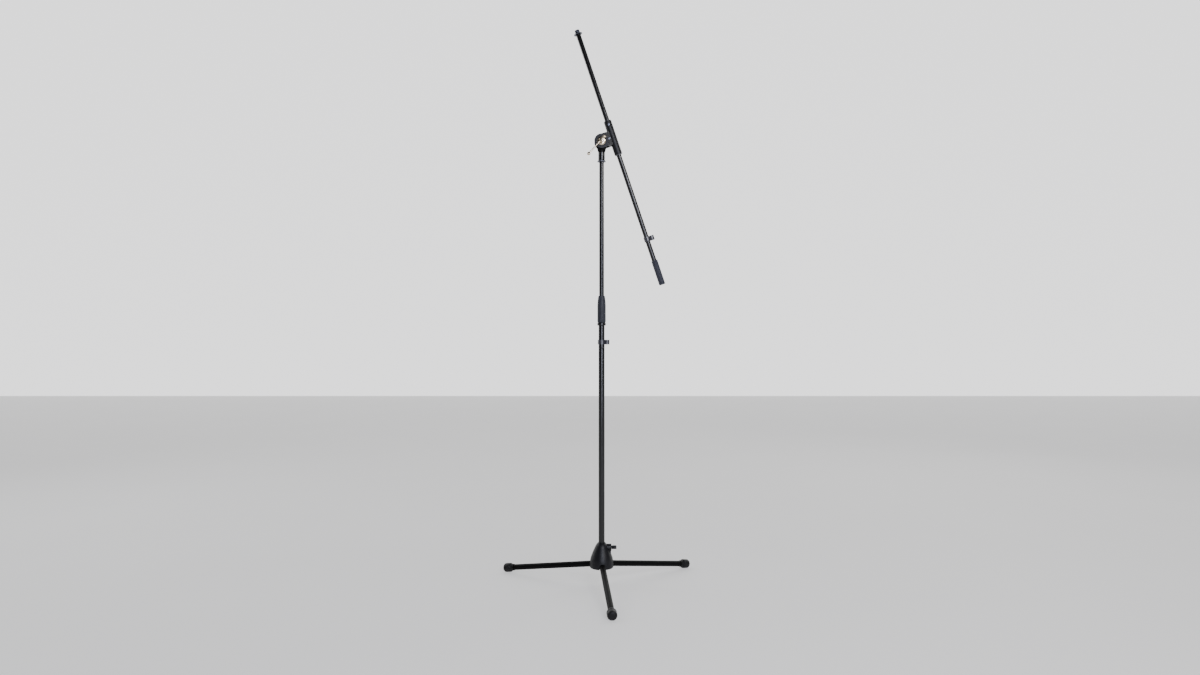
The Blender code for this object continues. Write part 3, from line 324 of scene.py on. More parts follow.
class Finish:
    def __init__(self, name, **fixed):
        self.material = bpy.data.materials.new(name)
        self.material.use_nodes = True
        self.tree = self.material.node_tree
        self.tree.nodes.clear()
        self.shader = self.add("ShaderNodeBsdfPrincipled", {}, fixed)
        self.add("ShaderNodeOutputMaterial", {}, {"Surface": Wire(self, self.shader.outputs[0])})
        self.place = Wire(self, self.add("ShaderNodeTexCoord", {}, {}).outputs["Object"])

    def add(self, kind, settings, inputs):
        node = self.tree.nodes.new(kind)
        for name, value in settings.items():
            setattr(node, name, value)
        for name, value in inputs.items():
            if isinstance(value, Wire):
                self.tree.links.new(value.socket, node.inputs[name])
            else:
                node.inputs[name].default_value = value
        return node

    def noise(self, size, detail):
        # patches about size metres across, from 0 to 1
        node = self.add("ShaderNodeTexNoise", {}, {"Vector": self.place, "Scale": 1 / size, "Detail": detail})
        return Wire(self, node.outputs[0])

    def between(self, value, low, high):
        # 0 below low, 1 above high, smooth between
        node = self.add("ShaderNodeMapRange", {"interpolation_type": "SMOOTHSTEP"}, {
            "Value": value, "From Min": low, "From Max": high})
        return Wire(self, node.outputs[0])

    def blend(self, amount, first, second):
        node = self.add("ShaderNodeMix", {"data_type": "RGBA"}, {
            0: amount, 6: first if isinstance(first, Wire) else (*first, 1), 7: (*second, 1)})
        return Wire(self, node.outputs[2])

    def bump(self, height, depth):
        node = self.add("ShaderNodeBump", {}, {"Distance": depth, "Height": height})
        return Wire(self, node.outputs[0])

    def wear(self, **varying):
        for name, value in varying.items():
            self.tree.links.new(value.socket, self.shader.inputs[name.replace("_", " ")])
        return self.material


def enamel(name, look):
    # sprayed and baked gloss: a faint orange peel, soft rub marks and a little dust
    finish = Finish(name, **{"Coat Roughness": look["coatRoughness"], "Specular IOR Level": look["specular"]})
    peel = finish.noise(look["peelSize"], 1.0)
    rub = finish.between(finish.noise(5 * mm, 5.0), 0.6, 0.74)
    cloud = finish.noise(40 * mm, 3.0)
    colour = finish.blend(cloud, look["dark"], look["light"])
    return finish.wear(Base_Color=finish.blend(rub * look["rub"], colour, look["rubbed"]),
                       Roughness=look["roughness"] + 0.06 * cloud + 0.08 * rub,
                       Coat_Weight=look["coat"] - 0.05 * cloud,
                       Normal=finish.bump(peel, look["peelDepth"]))


def moulded(name, look):
    # spark-eroded plastic: a fine even grain, slow shade changes and light scuffs
    finish = Finish(name, **{"Specular IOR Level": look["specular"]})
    grain = finish.noise(look["grainSize"], 2.0)
    cloud = finish.noise(14 * mm, 4.0)
    scuff = finish.between(finish.noise(3.5 * mm, 6.0), 0.62, 0.76)
    colour = finish.blend(cloud, look["dark"], look["light"])
    return finish.wear(Base_Color=finish.blend(scuff * look["scuff"], colour, look["scuffed"]),
                       Roughness=look["roughness"] + 0.12 * (cloud - 0.5) + 0.08 * grain,
                       Normal=finish.bump(grain, look["grainDepth"]))


def rubber(name, look):
    # matte rubber with a talc-like bloom in soft patches, and a soft pebble
    finish = Finish(name, **{"Specular IOR Level": 0.25, "Sheen Weight": look["sheen"],
                             "Sheen Roughness": 0.5})
    pebble = finish.noise(look["grainSize"], 3.0)
    bloom = finish.between(finish.noise(9 * mm, 5.0), 0.45, 0.8)
    colour = finish.blend(bloom * look["bloom"], look["dark"], look["light"])
    return finish.wear(Base_Color=colour, Roughness=look["roughness"] + 0.1 * bloom,
                       Normal=finish.bump(pebble, look["grainDepth"]))


def metal(name, look):
    # plated or bare metal: turning lines, handling haze and specks that went through the plating
    finish = Finish(name, Metallic=1.0)
    haze = finish.noise(6 * mm, 4.0)
    fine = finish.noise(0.35 * mm, 2.0)
    speck = finish.between(finish.noise(1.6 * mm, 2.0), 0.72, 0.8)
    colour = finish.blend(haze, look["dark"], look["light"])
    return finish.wear(Base_Color=finish.blend(speck * look["speck"], colour, look["tarnish"]),
                       Roughness=look["roughness"] + look["haze"] * haze + 0.2 * speck * look["speck"],
                       Normal=finish.bump(fine, look["grainDepth"]))


enamelLook = {"dark": (0.001, 0.001, 0.0014), "light": (0.002, 0.0021, 0.0028),
              "rubbed": (0.005, 0.005, 0.006), "rub": 0.2, "specular": 0.36, "roughness": 0.26,
              "coat": 0.2, "coatRoughness": 0.2, "peelSize": 3.0 * mm, "peelDepth": 0.003 * mm}
legLook = {**enamelLook, "dark": (0.0012, 0.0012, 0.0012), "light": (0.003, 0.003, 0.0029),
           "specular": 0.06, "roughness": 0.52, "coat": 0.05, "coatRoughness": 0.3,
           "peelSize": 1.6 * mm, "peelDepth": 0.006 * mm}
plasticLook = {"dark": (0.0025, 0.0025, 0.0035), "light": (0.005, 0.005, 0.007),
               "scuffed": (0.012, 0.012, 0.016), "scuff": 0.4, "specular": 0.26, "roughness": 0.42,
               "grainSize": 0.45 * mm, "grainDepth": 0.02 * mm}
# the clips are the same black moulding made glossier; their lighter, bluer base colour is painted reflection of
# the lamps on the hooks
clipPaintedReflectionLook = {**plasticLook, "dark": (0.014, 0.014, 0.02), "light": (0.024, 0.024, 0.033),
            "specular": 0.7, "roughness": 0.26, "grainDepth": 0.008 * mm}
linerLook = {**plasticLook, "dark": (0.07, 0.072, 0.078), "light": (0.11, 0.112, 0.12),
             "scuffed": (0.16, 0.16, 0.17)}
clutchLook = {**plasticLook, "dark": (0.014, 0.015, 0.02), "light": (0.022, 0.0235, 0.032),
              "scuffed": (0.05, 0.052, 0.064), "roughness": 0.5, "grainSize": 0.3 * mm}
footLook = {"dark": (0.002, 0.002, 0.0023), "light": (0.007, 0.007, 0.009), "bloom": 0.5, "sheen": 0.03,
            "roughness": 0.56, "grainSize": 0.6 * mm, "grainDepth": 0.06 * mm}
gripLook = {**footLook, "dark": (0.022, 0.0235, 0.033), "light": (0.038, 0.04, 0.054), "sheen": 0.06,
            "roughness": 0.66, "grainSize": 0.4 * mm}
nickelLook = {"dark": (0.42, 0.34, 0.24), "light": (0.66, 0.57, 0.44), "tarnish": (0.2, 0.15, 0.1),
              "speck": 0.5, "roughness": 0.08, "haze": 0.1, "grainDepth": 0.004 * mm}
steelLook = {"dark": (0.34, 0.35, 0.38), "light": (0.52, 0.53, 0.56), "tarnish": (0.2, 0.17, 0.14),
             "speck": 0.5, "roughness": 0.28, "haze": 0.16, "grainDepth": 0.015 * mm}
platedLook = {**steelLook, "dark": (0.09, 0.095, 0.115), "light": (0.15, 0.158, 0.19),
              "tarnish": (0.06, 0.055, 0.05), "roughness": 0.3}
brassLook = {**steelLook, "dark": (0.45, 0.32, 0.12), "light": (0.62, 0.47, 0.2)}

finishes = {"black_enamel": enamel("tube enamel", enamelLook),
            "satin_black_metal": enamel("leg enamel", legLook),
            "satin_black_plastic": moulded("black moulding", plasticLook),
            # the clip finish carries painted reflection in its lighter base colour
            "clip": moulded("clip moulding with painted reflection", clipPaintedReflectionLook),
            "inner_plastic": moulded("liner nylon", linerLook),
            "clutch_grey": moulded("clutch grey", clutchLook),
            "black_rubber": rubber("foot rubber", footLook),
            "grip_rubber": rubber("grip rubber", gripLook),
            "bright_nickel": metal("bright nickel", nickelLook),
            "plain_steel": metal("zinc-plated steel", steelLook),
            "black_plated_steel": metal("black-plated steel", platedLook),
            "brass": metal("turned brass", brassLook)}
print("finishes made:", len(finishes))


# Tubes

tubes = {"mouthRounding": 0.45 * mm, "boreRounding": 0.2 * mm, "sides": 96}


def showTube(node, lie, slot):
    # a rectangle between the bore and the outer radius, its four corners rounded, turned about the axis
    low, high, bore, radius = reach(node, lie)
    lip, inner = tubes["mouthRounding"], tubes["boreRounding"]
    show(node, turned(band(bore, radius, low, high, inner, lip), tubes["sides"]), lie, slot)


showTube("lower_tube", poleLie, "black_enamel")
showTube("upper_tube", poleLie, "black_enamel")
showTube("boom_tube", boomLie, "black_enamel")
for number in (1, 2, 3):
    showTube(f"leg_tube_{number}", legLie(number), "satin_black_metal")
print("tubes made")


# Feet: rubber boots with a thin cuff, two sunk rings and a rounded nose, flat where they stand

foot = {"cuff": 9 * mm, "cuffWall": 1.6 * mm, "shoulder": 4 * mm, "nose": 9 * mm, "endWall": 12 * mm,
        "ringAt": (15 * mm, 19 * mm), "ringWidth": 1.2 * mm, "ringDepth": 0.6 * mm,
        "ringsBeyond": 14 * mm}


for number in (1, 2, 3):
    lie = legLie(number)
    low, high, bore, radius = reach(f"foot_{number}", lie)
    bore = reach(f"leg_tube_{number}", lie)[3] + play
    cuffRadius = bore + foot["cuffWall"]
    shoulder = low + foot["cuff"]
    curve, nose, end = foot["shoulder"], foot["nose"], high - foot["endWall"]
    flank = np.linspace(shoulder + curve, high - nose, 60)
    outside = np.vstack([rounded([(bore, low, 0.3 * mm), (cuffRadius, low, 0.7 * mm)]),
                         [(cuffRadius, shoulder - 0.8 * mm), (cuffRadius + 0.2 * mm, shoulder - 0.3 * mm)],
                         arc((radius - curve, shoulder + curve), curve, -78, 0, 10), upright(radius, flank),
                         arc((radius - nose, high - nose), nose, 0, 90, 16),
                         [(0, high), (0, end), (bore, end)]])
    rings = sunkRings([low + place for place in foot["ringAt"]], foot["ringWidth"] / 2, foot["ringDepth"],
                      foot["ringsBeyond"])
    show(f"foot_{number}", turned(outside, 96, rings), lie, "black_rubber", flatten=floorZ)
print("feet made")


# Hub: a moulded bell with three arches for the legs, hollows between them and a boss for the hand screw

hub = {"bell": [(0.17, 0.99), (0.33, 0.955), (0.48, 0.868), (0.67, 0.708), (0.82, 0.566), (0.92, 0.455)],
       "rim": 5 * mm, "crownWall": 2 * mm, "shellWall": 3 * mm, "sleeveWall": 3.5 * mm,
       "pocketHeight": 48 * mm, "rib": 4 * mm, "webDrop": 20.5 * mm, "webHalf": 7.3 * mm,
       "webInset": 1.4 * mm, "archRadius": 9.8 * mm, "pinBore": 3.3 * mm, "bossRadius": 11.3 * mm,
       "bossEdge": 1.2 * mm, "edge": 0.7 * mm, "sides": 144}
hubLow, hubHigh, hubBore, hubRadius = reach("base_hub", poleLie)
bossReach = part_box("lock_insert")[1][0]


def bellCurve(inset):
    # the outline: shares of the full height against shares of the full radius, drawn in by inset
    tall = hubHigh - hubLow
    return [(hubRadius * share - inset, hubLow + tall * rise) for rise, share in hub["bell"]]


def hubShape():
    # the bell curve turned about the pole; less a ring-shaped hollow that leaves three ribs, three arches
    # (half circle and straight sides) carried out along the legs, the pole bore and the stepped screw hole;
    # plus a round boss on a square-edged web
    rim = arc((hubRadius - hub["rim"], hubLow + hub["rim"]), hub["rim"], -90, 0, 8)
    flank = curveThrough([*bellCurve(0), (hubBore + hub["crownWall"], hubHigh)])
    bell = turned(np.vstack([[(hubBore, hubLow)], rim, flank, [(hubBore, hubHigh)]]), hub["sides"])
    sleeve = hubBore + hub["sleeveWall"]
    under, roof = hubLow - beyond, hubLow + hub["pocketHeight"]
    wall = curveThrough(bellCurve(hub["shellWall"]))
    wall = wall[wall[:, 1] < roof - 2 * mm]
    hollow = turned(np.vstack([[(sleeve, under), (wall[0, 0], under)], wall,
                               [(wall[-1, 0] - 1.5 * mm, roof), (sleeve, roof)]]), hub["sides"])
    ribHalf = hub["archRadius"] + hub["rib"]
    ribs, slots = [], []
    for number in (1, 2, 3):
        lie, pin = legLie(number), pinLie(number)
        outward = lieOf((0, 0, 0), up, lie["origin"] * (1, 1, 0))
        ribs.append(laid(slab((0, -ribHalf, under - beyond), (0.1, ribHalf, roof + beyond)), outward))
        inward = np.hypot(*lie["origin"][:2]) - sleeve
        arch = np.vstack([arc((0, 0), hub["archRadius"], -90, 90, 28),
                          [(-65 * mm, hub["archRadius"]), (-65 * mm, -hub["archRadius"])]])
        slots.append(laid(prism(arch, -inward, hubRadius), lie))
        eye = hub["archRadius"] - 0.05 * mm
        slots.append(laid(slab((-0.9 * eye, -eye - 0.35 * mm, -eye), (eye, eye + 0.35 * mm, eye)), lie))
        half = reach(f"leg_pin_{number}", pin)[1] + play
        slots.append(laid(rod(hub["pinBore"], -half, half, 32), pin))
    hollows = carved(hollow, taken=ribs)
    boss = laid(rod(hub["bossRadius"], sleeve - mm, bossReach, 64, hub["bossEdge"]), lockLie)
    lockHeight = lockLie["origin"][2]
    web = slab((sleeve - mm, -hub["webHalf"], lockHeight - hub["webDrop"]),
               (bossReach - hub["webInset"], hub["webHalf"], lockHeight))
    padHigh, padRadius = reach("lock_pad", lockLie)[1::2]
    insertLow, insertHigh, inner, insertRadius = reach("lock_insert", lockLie)
    pad, stud, insert = padRadius + play, reach("lock_stud", lockLie)[3] + play, insertRadius + play
    hole = turned([(0, 0), (pad, 0), (pad, padHigh + play), (stud, padHigh + play), (stud, insertLow - play),
                   (insert, insertLow - play), (insert, bossReach + beyond), (0, bossReach + beyond)], 40)
    bore = rod(hubBore, hubLow - beyond, hubHigh + beyond, hub["sides"])
    return carved(bell, joined=[boss, web], taken=[hollows, *slots, bore, laid(hole, lockLie)])


show("base_hub", hubShape(), poleLie, "satin_black_plastic", hub["edge"], 3)
print("hub made")


# Leg knuckles and pins

knuckle = {"edge": 0.6 * mm, "pinDome": 1.1 * mm}
for number in (1, 2, 3):
    lie, pin = legLie(number), pinLie(number)
    pinLow, pinHigh, pinRadius = span(f"leg_pin_{number}", pin)
    eyeLow, eyeHigh = reach(f"leg_knuckle_{number}", pin)[:2]
    tubeStart, tubeBore = reach(f"leg_tube_{number}", lie)[::2]
    eye = laid(rod(tubeStart - play, eyeLow, eyeHigh, 64), pin)
    spigot = laid(rod(tubeBore - play, 2 * mm, reach(f"leg_knuckle_{number}", lie)[1], 48), lie)
    hole = laid(rod(pinRadius + play, -20 * mm, 20 * mm, 32), pin)
    show(f"leg_knuckle_{number}", carved(eye, joined=[spigot], taken=[hole]), poleLie,
         "satin_black_metal", knuckle["edge"])
    show(f"leg_pin_{number}", rod(pinRadius, pinLow, pinHigh, 40, knuckle["pinDome"]), pin, "plain_steel")
print("knuckles and pins made")


# Hand screw: a ribbed wing knob on a steel stud

knob = {"core": 6 * mm, "coreEdge": 1.6 * mm, "wingHalf": 14.5 * mm, "wingThick": 4.2 * mm,
        "wingRounding": 4.4 * mm, "wingLength": 10.5 * mm, "wingFromEnd": 1.5 * mm, "edge": 0.7 * mm,
        "grooves": 3, "grooveFrom": 8.6 * mm, "grooveStep": 1.9 * mm, "grooveRadius": 0.75 * mm,
        "grooveStandOff": 0.3 * mm, "pitch": 1.25 * mm, "threadDepth": 0.35 * mm, "threadRows": 140}


def knobShape():
    # a cylinder and a rounded rectangle of even thickness, less a stud hole and round grooves on both faces
    low, high = reach("lock_knob", lockLie)[:2]
    core = rod(knob["core"], low, high, 56, knob["coreEdge"])
    wingHigh = high - knob["wingFromEnd"]
    wingLow = wingHigh - knob["wingLength"]
    wingHalf, corner = knob["wingHalf"], knob["wingRounding"]
    outline = rounded([(wingHalf, wingLow, corner), (wingHalf, wingHigh, corner),
                       (-wingHalf, wingHigh, corner), (-wingHalf, wingLow, corner)], 6)
    wing = prism(outline, -knob["wingThick"] / 2, knob["wingThick"] / 2)
    wing = swapped(wing, [2, 0, 1])  # thickness along the first direction, span along the second
    studLow, studHigh, stud = span("lock_stud", lockLie)
    hole = rod(stud + play, low - beyond, studHigh + play, 40)
    grooves = []
    for side in (-1, 1):
        for face in (-1, 1):
            for step in range(knob["grooves"]):
                y = side * (knob["grooveFrom"] + knob["grooveStep"] * step)
                x = face * (knob["wingThick"] / 2 + knob["grooveStandOff"])
                groove = rod(knob["grooveRadius"], wingLow - mm, wingHigh + mm, 16)
                grooves.append(shifted(groove, x, y, 0))
    return carved(core, joined=[wing], taken=[hole, *grooves])


show("lock_knob", knobShape(), lockLie, "satin_black_plastic", knob["edge"], 2)
studLow, studHigh, studRadius = span("lock_stud", lockLie)
studRows = np.linspace(studLow + 0.5 * mm, studHigh - 0.5 * mm, knob["threadRows"])
studProfile = np.vstack([[(0, studLow), (studRadius - 0.5 * mm, studLow)],
                         upright(studRadius, studRows),
                         [(studRadius - 0.5 * mm, studHigh), (0, studHigh)]])
studThread = thread(studLow, studHigh, knob["pitch"], knob["threadDepth"])
show("lock_stud", turned(studProfile, 48, studThread), lockLie, "plain_steel")
insertLow, insertHigh, insertBore, insertRadius = reach("lock_insert", lockLie)
insert = rounded([(insertBore, insertLow, 0.4 * mm), (insertRadius, insertLow, 0.4 * mm),
                  (insertRadius, insertHigh, 0.3 * mm), (insertBore, insertHigh, 0.6 * mm)])
show("lock_insert", turned(insert, 48), lockLie, "brass")
print("hand screw made")


# Pole end plug

plug = {"head": 3.5 * mm, "edge": 0.8 * mm}
low, high, headRadius = span("pole_end_plug", poleLie)
stem = reach("lower_tube", poleLie)[2] - play
stopper = rounded([(0, low, 0), (headRadius, low, plug["edge"]), (headRadius, plug["head"], 0.4 * mm),
                   (stem, plug["head"], 0.1 * mm), (stem, high, 0.8 * mm), (0, high, 0)])
show("pole_end_plug", turned(stopper, 72), poleLie, "black_rubber")


# Clutch: a beaded ring, and a grip that tapers to the upper tube, with short raised bars round its foot

clutch = {"ringBead": 2.9 * mm, "groove": 0.8 * mm, "grooveHeight": 2.2 * mm, "straight": 54 * mm,
          "topRadius": 10.9 * mm, "topEdge": 1.9 * mm, "taperPower": 1.6, "mouthGap": 0.5 * mm,
          "bars": 18, "barLow": 4.5 * mm, "barHigh": 11 * mm, "barHeight": 0.3 * mm, "barShare": 0.34}

low, high, bore, radius = reach("clutch_ring", poleLie)
ring = band(bore, radius, low, high, 0.3 * mm, clutch["ringBead"], 10)
show("clutch_ring", turned(ring, 96), poleLie, "black_enamel")


def gripBars(start):
    # bars stand where the angle falls in the middle share of its step, faded at all four edges
    def swell(t, h, r):
        step = np.abs(np.mod(t * clutch["bars"] / (2 * np.pi), 1) - 0.5) * 2
        across = np.clip((clutch["barShare"] - step) / 0.12, 0, 1)
        inside = np.minimum(h - start - clutch["barLow"], start + clutch["barHigh"] - h)
        along = np.clip(inside / (0.6 * mm), 0, 1)
        return clutch["barHeight"] * across * along * (r > 13 * mm)
    return swell


low, high, bore, radius = reach("clutch_grip", poleLie)
upperRadius = reach("upper_tube", poleLie)[3]
mouth = upperRadius + clutch["mouthGap"]
straight = np.linspace(low + clutch["grooveHeight"] + 0.5 * mm, low + 14 * mm, 36)
rise = np.linspace(0, 1, 40)
taperTop = high - clutch["topEdge"]
taper = np.column_stack([radius - (radius - clutch["topRadius"]) * rise ** clutch["taperPower"],
                         low + clutch["straight"] + (taperTop - low - clutch["straight"]) * rise])
colletTop, colletRadius = reach("clutch_collet", poleLie)[1::2]
gripProfile = np.vstack([
    rounded([(colletRadius + play, low, 0.2 * mm), (radius - clutch["groove"], low, 0.4 * mm)]),
    [(radius - clutch["groove"], low + clutch["grooveHeight"])],
    upright(radius, straight), taper,
    arc((clutch["topRadius"] - clutch["topEdge"], taperTop), clutch["topEdge"], 8, 90, 8),
    [(mouth, high), (mouth, colletTop + 1.5 * mm), (colletRadius - 1.3 * mm, colletTop + 1.5 * mm),
     (colletRadius - 1.3 * mm, colletTop), (colletRadius + play, colletTop - 23 * mm)]])
show("clutch_grip", turned(gripProfile, 288, gripBars(low)), poleLie, "clutch_grey")
print("clutch made")


# Cable clips: a ring with an open hook, whose mouth has a round lip on each side

clip = {"wall": 2 * mm, "hookBore": 6.2 * mm, "hookSink": 0.6 * mm, "mouth": 4.6 * mm, "lip": 1.3 * mm,
        "edge": 0.55 * mm}


def clipShape(tubeRadius, half):
    # a ring of even wall, and a C of two arcs about one centre whose ends are closed by small lip arcs
    bore = tubeRadius + play
    outer = bore + clip["wall"]
    hookOuter = clip["hookBore"] + clip["wall"]
    x = outer + clip["hookBore"] - clip["hookSink"]
    middle = hookOuter - clip["wall"] / 2
    start = math.degrees(math.asin((clip["mouth"] / 2 + clip["lip"]) / middle))
    lipX, lipY = middle * math.cos(math.radians(start)), middle * math.sin(math.radians(start))
    meet = math.degrees(math.acos(clip["wall"] / 2 / clip["lip"]))
    back = math.degrees(clip["lip"] * math.sin(math.radians(meet)) / middle)
    hook = np.vstack([arc((x, 0), hookOuter, start + back, 360 - start - back, 60)[:-1],
                      arc((x + lipX, -lipY), clip["lip"], -start - meet, 180 + meet - start, 14),
                      arc((x, 0), clip["hookBore"], 360 - start - back, start + back, 52)[1:-1],
                      arc((x + lipX, lipY), clip["lip"], start - 180 - meet, start + meet, 14)[:-1]])
    return carved(rod(outer, -half, half, 72), joined=[prism(hook, -half, half)],
                  taken=[rod(bore, -2 * half, 2 * half, 72)])


for node, lie, tubeNode in (("pole_clip", poleLie, "lower_tube"), ("boom_clip", boomLie, "boom_tube")):
    low, high = reach(node, lie)[:2]
    place = {"origin": lie["origin"] + lie["turn"][:, 2] * (low + high) / 2, "turn": lie["turn"]}
    # the clips get the glossier black moulding whose lighter colour is painted reflection
    show(node, clipShape(reach(tubeNode, lie)[3], (high - low) / 2), place, "satin_black_plastic",
         clip["edge"], 3, finish="clip")
print("clips made")


# Threaded fittings: a spigot in the tube, a knurled flange and a microphone thread

fitting = {"flange": 2.5 * mm, "spigot": 28 * mm, "threadRadius": 7.94 * mm, "pitch": 0.94 * mm,
           "depth": 0.55 * mm, "rows": 110, "knurls": 60, "knurlDepth": 0.3 * mm}


def fittingShape(low, high, flangeRadius, stem):
    # a stepped profile turned round; the rim is pressed in by |sin|^0.7 of the angle, the top is threaded
    base = low + fitting["spigot"]
    top = base + fitting["flange"]
    cutThread = thread(top, high - 0.3 * mm, fitting["pitch"], fitting["depth"])

    def swell(t, h, r):
        knurl = np.abs(np.sin(t * fitting["knurls"] / 2)) ** 0.7 - 1
        onRim = (r > flangeRadius - 0.1 * mm) * 1.0
        return np.where(h > top + 0.05 * mm, cutThread(t, h, r), fitting["knurlDepth"] * knurl * onRim)

    rows = np.linspace(top + 0.1 * mm, high - 0.8 * mm, fitting["rows"])
    profile = np.vstack([[(0, low)], rounded([(stem - mm, low, 0), (stem, low + mm, 0.2 * mm)]),
                         [(stem, base), (flangeRadius - 0.5 * mm, base), (flangeRadius, base + 0.5 * mm),
                          (flangeRadius, top - 0.5 * mm), (flangeRadius - 0.5 * mm, top),
                          (fitting["threadRadius"] - fitting["depth"], top)],
                         upright(fitting["threadRadius"], rows),
                         [(fitting["threadRadius"] - 0.9 * mm, high), (0, high)]])
    return turned(profile, 180, swell)


for node, lie, tubeNode in (("top_fitting", poleLie, "upper_tube"), ("tip_fitting", boomLie, "boom_tube")):
    low, high, flangeRadius = span(node, lie)
    stem = reach(tubeNode, lie)[2] - play
    show(node, fittingShape(low, high, flangeRadius, stem), lie, "black_plated_steel")
print("fittings made")


# Swivel collar: two fine turned lines near each end

collar = {"bead": 1.2 * mm, "line": 0.25 * mm, "lineAt": 3.2 * mm, "lineWidth": 0.5 * mm}
low, high, bore, radius = reach("swivel_collar", poleLie)
lines = [(radius - deep, end + way * (collar["lineAt"] + shift), 0.05 * mm)
         for end, way, order in ((low, 1, 1), (high, -1, -1))
         for shift, deep in ((-collar["lineWidth"], 0), (-0.1 * mm, collar["line"]),
                             (0.1 * mm, collar["line"]), (collar["lineWidth"], 0))[::order]]
sleeve = rounded([(bore, low, 0.2 * mm), (radius, low, collar["bead"]), *lines,
                  (radius, high, collar["bead"]), (bore, high, 0.2 * mm)], 6)
show("swivel_collar", turned(sleeve, 96), poleLie, "black_enamel")


# Pivot lug: a flat eye on a flared neck, with a round foot in the collar

lug = {"thick": 13 * mm, "neckInset": 4 * mm, "neck": 11 * mm, "flank": 14.6 * mm, "flankRise": 12 * mm,
       "footHeight": 8 * mm, "spigot": 11 * mm, "threadRadius": 7.94 * mm, "hole": 4.3 * mm, "edge": 0.8 * mm}


def lugShape():
    # an eye (arc) that runs into two flanks and a narrower neck, carried to an even thickness, with a hole,
    # and a turned foot whose lower part fills the collar
    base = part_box("swivel_collar")[1][2] - pivot[2] + play
    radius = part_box("pivot_lug")[1][0]
    touch = math.degrees(math.acos((radius - lug["neckInset"]) / radius))
    outline = np.vstack([arc((0, 0), radius, -touch, 180 + touch, 64),
                         [(-lug["flank"], base + lug["flankRise"]), (-lug["neck"], base + mm),
                          (lug["neck"], base + mm), (lug["flank"], base + lug["flankRise"])]])
    plate = swapped(prism(outline, -lug["thick"] / 2, lug["thick"] / 2), [0, 2, 1])
    top = base + lug["footHeight"]
    neck, stem, under = lug["neck"], lug["threadRadius"], base - lug["spigot"]
    foot = turned([(0, under), (stem, under), (stem, base), (neck - 0.3 * mm, base),
                   (neck + 0.6 * mm, top - mm), (neck - mm, top), (0, top)], 72)
    hole = swapped(rod(lug["hole"], -lug["thick"], lug["thick"], 48), [0, 2, 1])
    return carved(plate, joined=[foot], taken=[hole])


lugLie = lieOf(pivot, up, (1, 0, 0))
show("pivot_lug", lugShape(), lugLie, "satin_black_metal", lug["edge"], 3)
print("collar and lug made")


# Boom clamp: two moulded halves, each an ear at the tilt axis, an arm and half of the boom's sleeve

clamp = {"earEdge": 0.8 * mm, "armInset": 1.2 * mm, "armStep": 0.4 * mm, "armStart": 4 * mm,
         "slopeStart": 18 * mm, "slopeEnd": 33 * mm, "armEnd": 10.5 * mm, "neckRoom": 17.6 * mm,
         "lugRoom": 23.3 * mm, "split": 0.15 * mm, "through": 120 * mm,
         "screwHole": 4.3 * mm, "sleeveEdge": 1.1 * mm, "ringLow": 17.6 * mm, "ringHigh": 19 * mm,
         "ringDepth": 0.6 * mm, "edge": 0.8 * mm, "shellHole": 1.55 * mm, "headHole": 3.5 * mm,
         "shellSink": 1.8 * mm, "linerHole": 1.8 * mm, "linerHead": 3.7 * mm, "linerSink": 0.4 * mm,
         "nutPocket": 7.86 * mm, "nutDepth": 5.3 * mm, "sides": 120}


def alongFront(shape):
    # a shape made along the third direction, turned to run towards the front
    return swapped(shape, [0, 2, 1], (1, -1, 1))


earFar = reach("clamp_front", earLie)[1]
earInner = reach("pivot_lug", earLie)[1] + 1.5 * mm
earRadius = -((cornersOf("clamp_front") - pivot) @ clampLie["turn"])[:, 0].min()
boomAway = float(np.linalg.norm(boomMiddle - pivot))
sleeveLow, sleeveHigh = reach("clamp_front", boomLie)[:2]
linerRadius = reach("boom_liner", boomLie)[3]
sleeveBore = linerRadius + play
sleeveRadius = ((cornersOf("clamp_front") - boomMiddle) @ boomLie["turn"])[:, 0].max()
shellAt = float(((np.mean(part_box("shell_screw"), axis=0) - pivot) @ clampLie["turn"])[0])
linerAt = float(((np.mean(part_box("liner_screw_front"), axis=0) - boomMiddle) @ boomLie["turn"])[2])


def steppedHole(hole, head, low, seat):
    # two cylinders on one axis: the hole up to the seat, the wider head room above it
    top = seat + 6 * mm
    return turned([(0, low), (hole, low), (hole, seat), (head, seat), (head, top), (0, top)], 40)


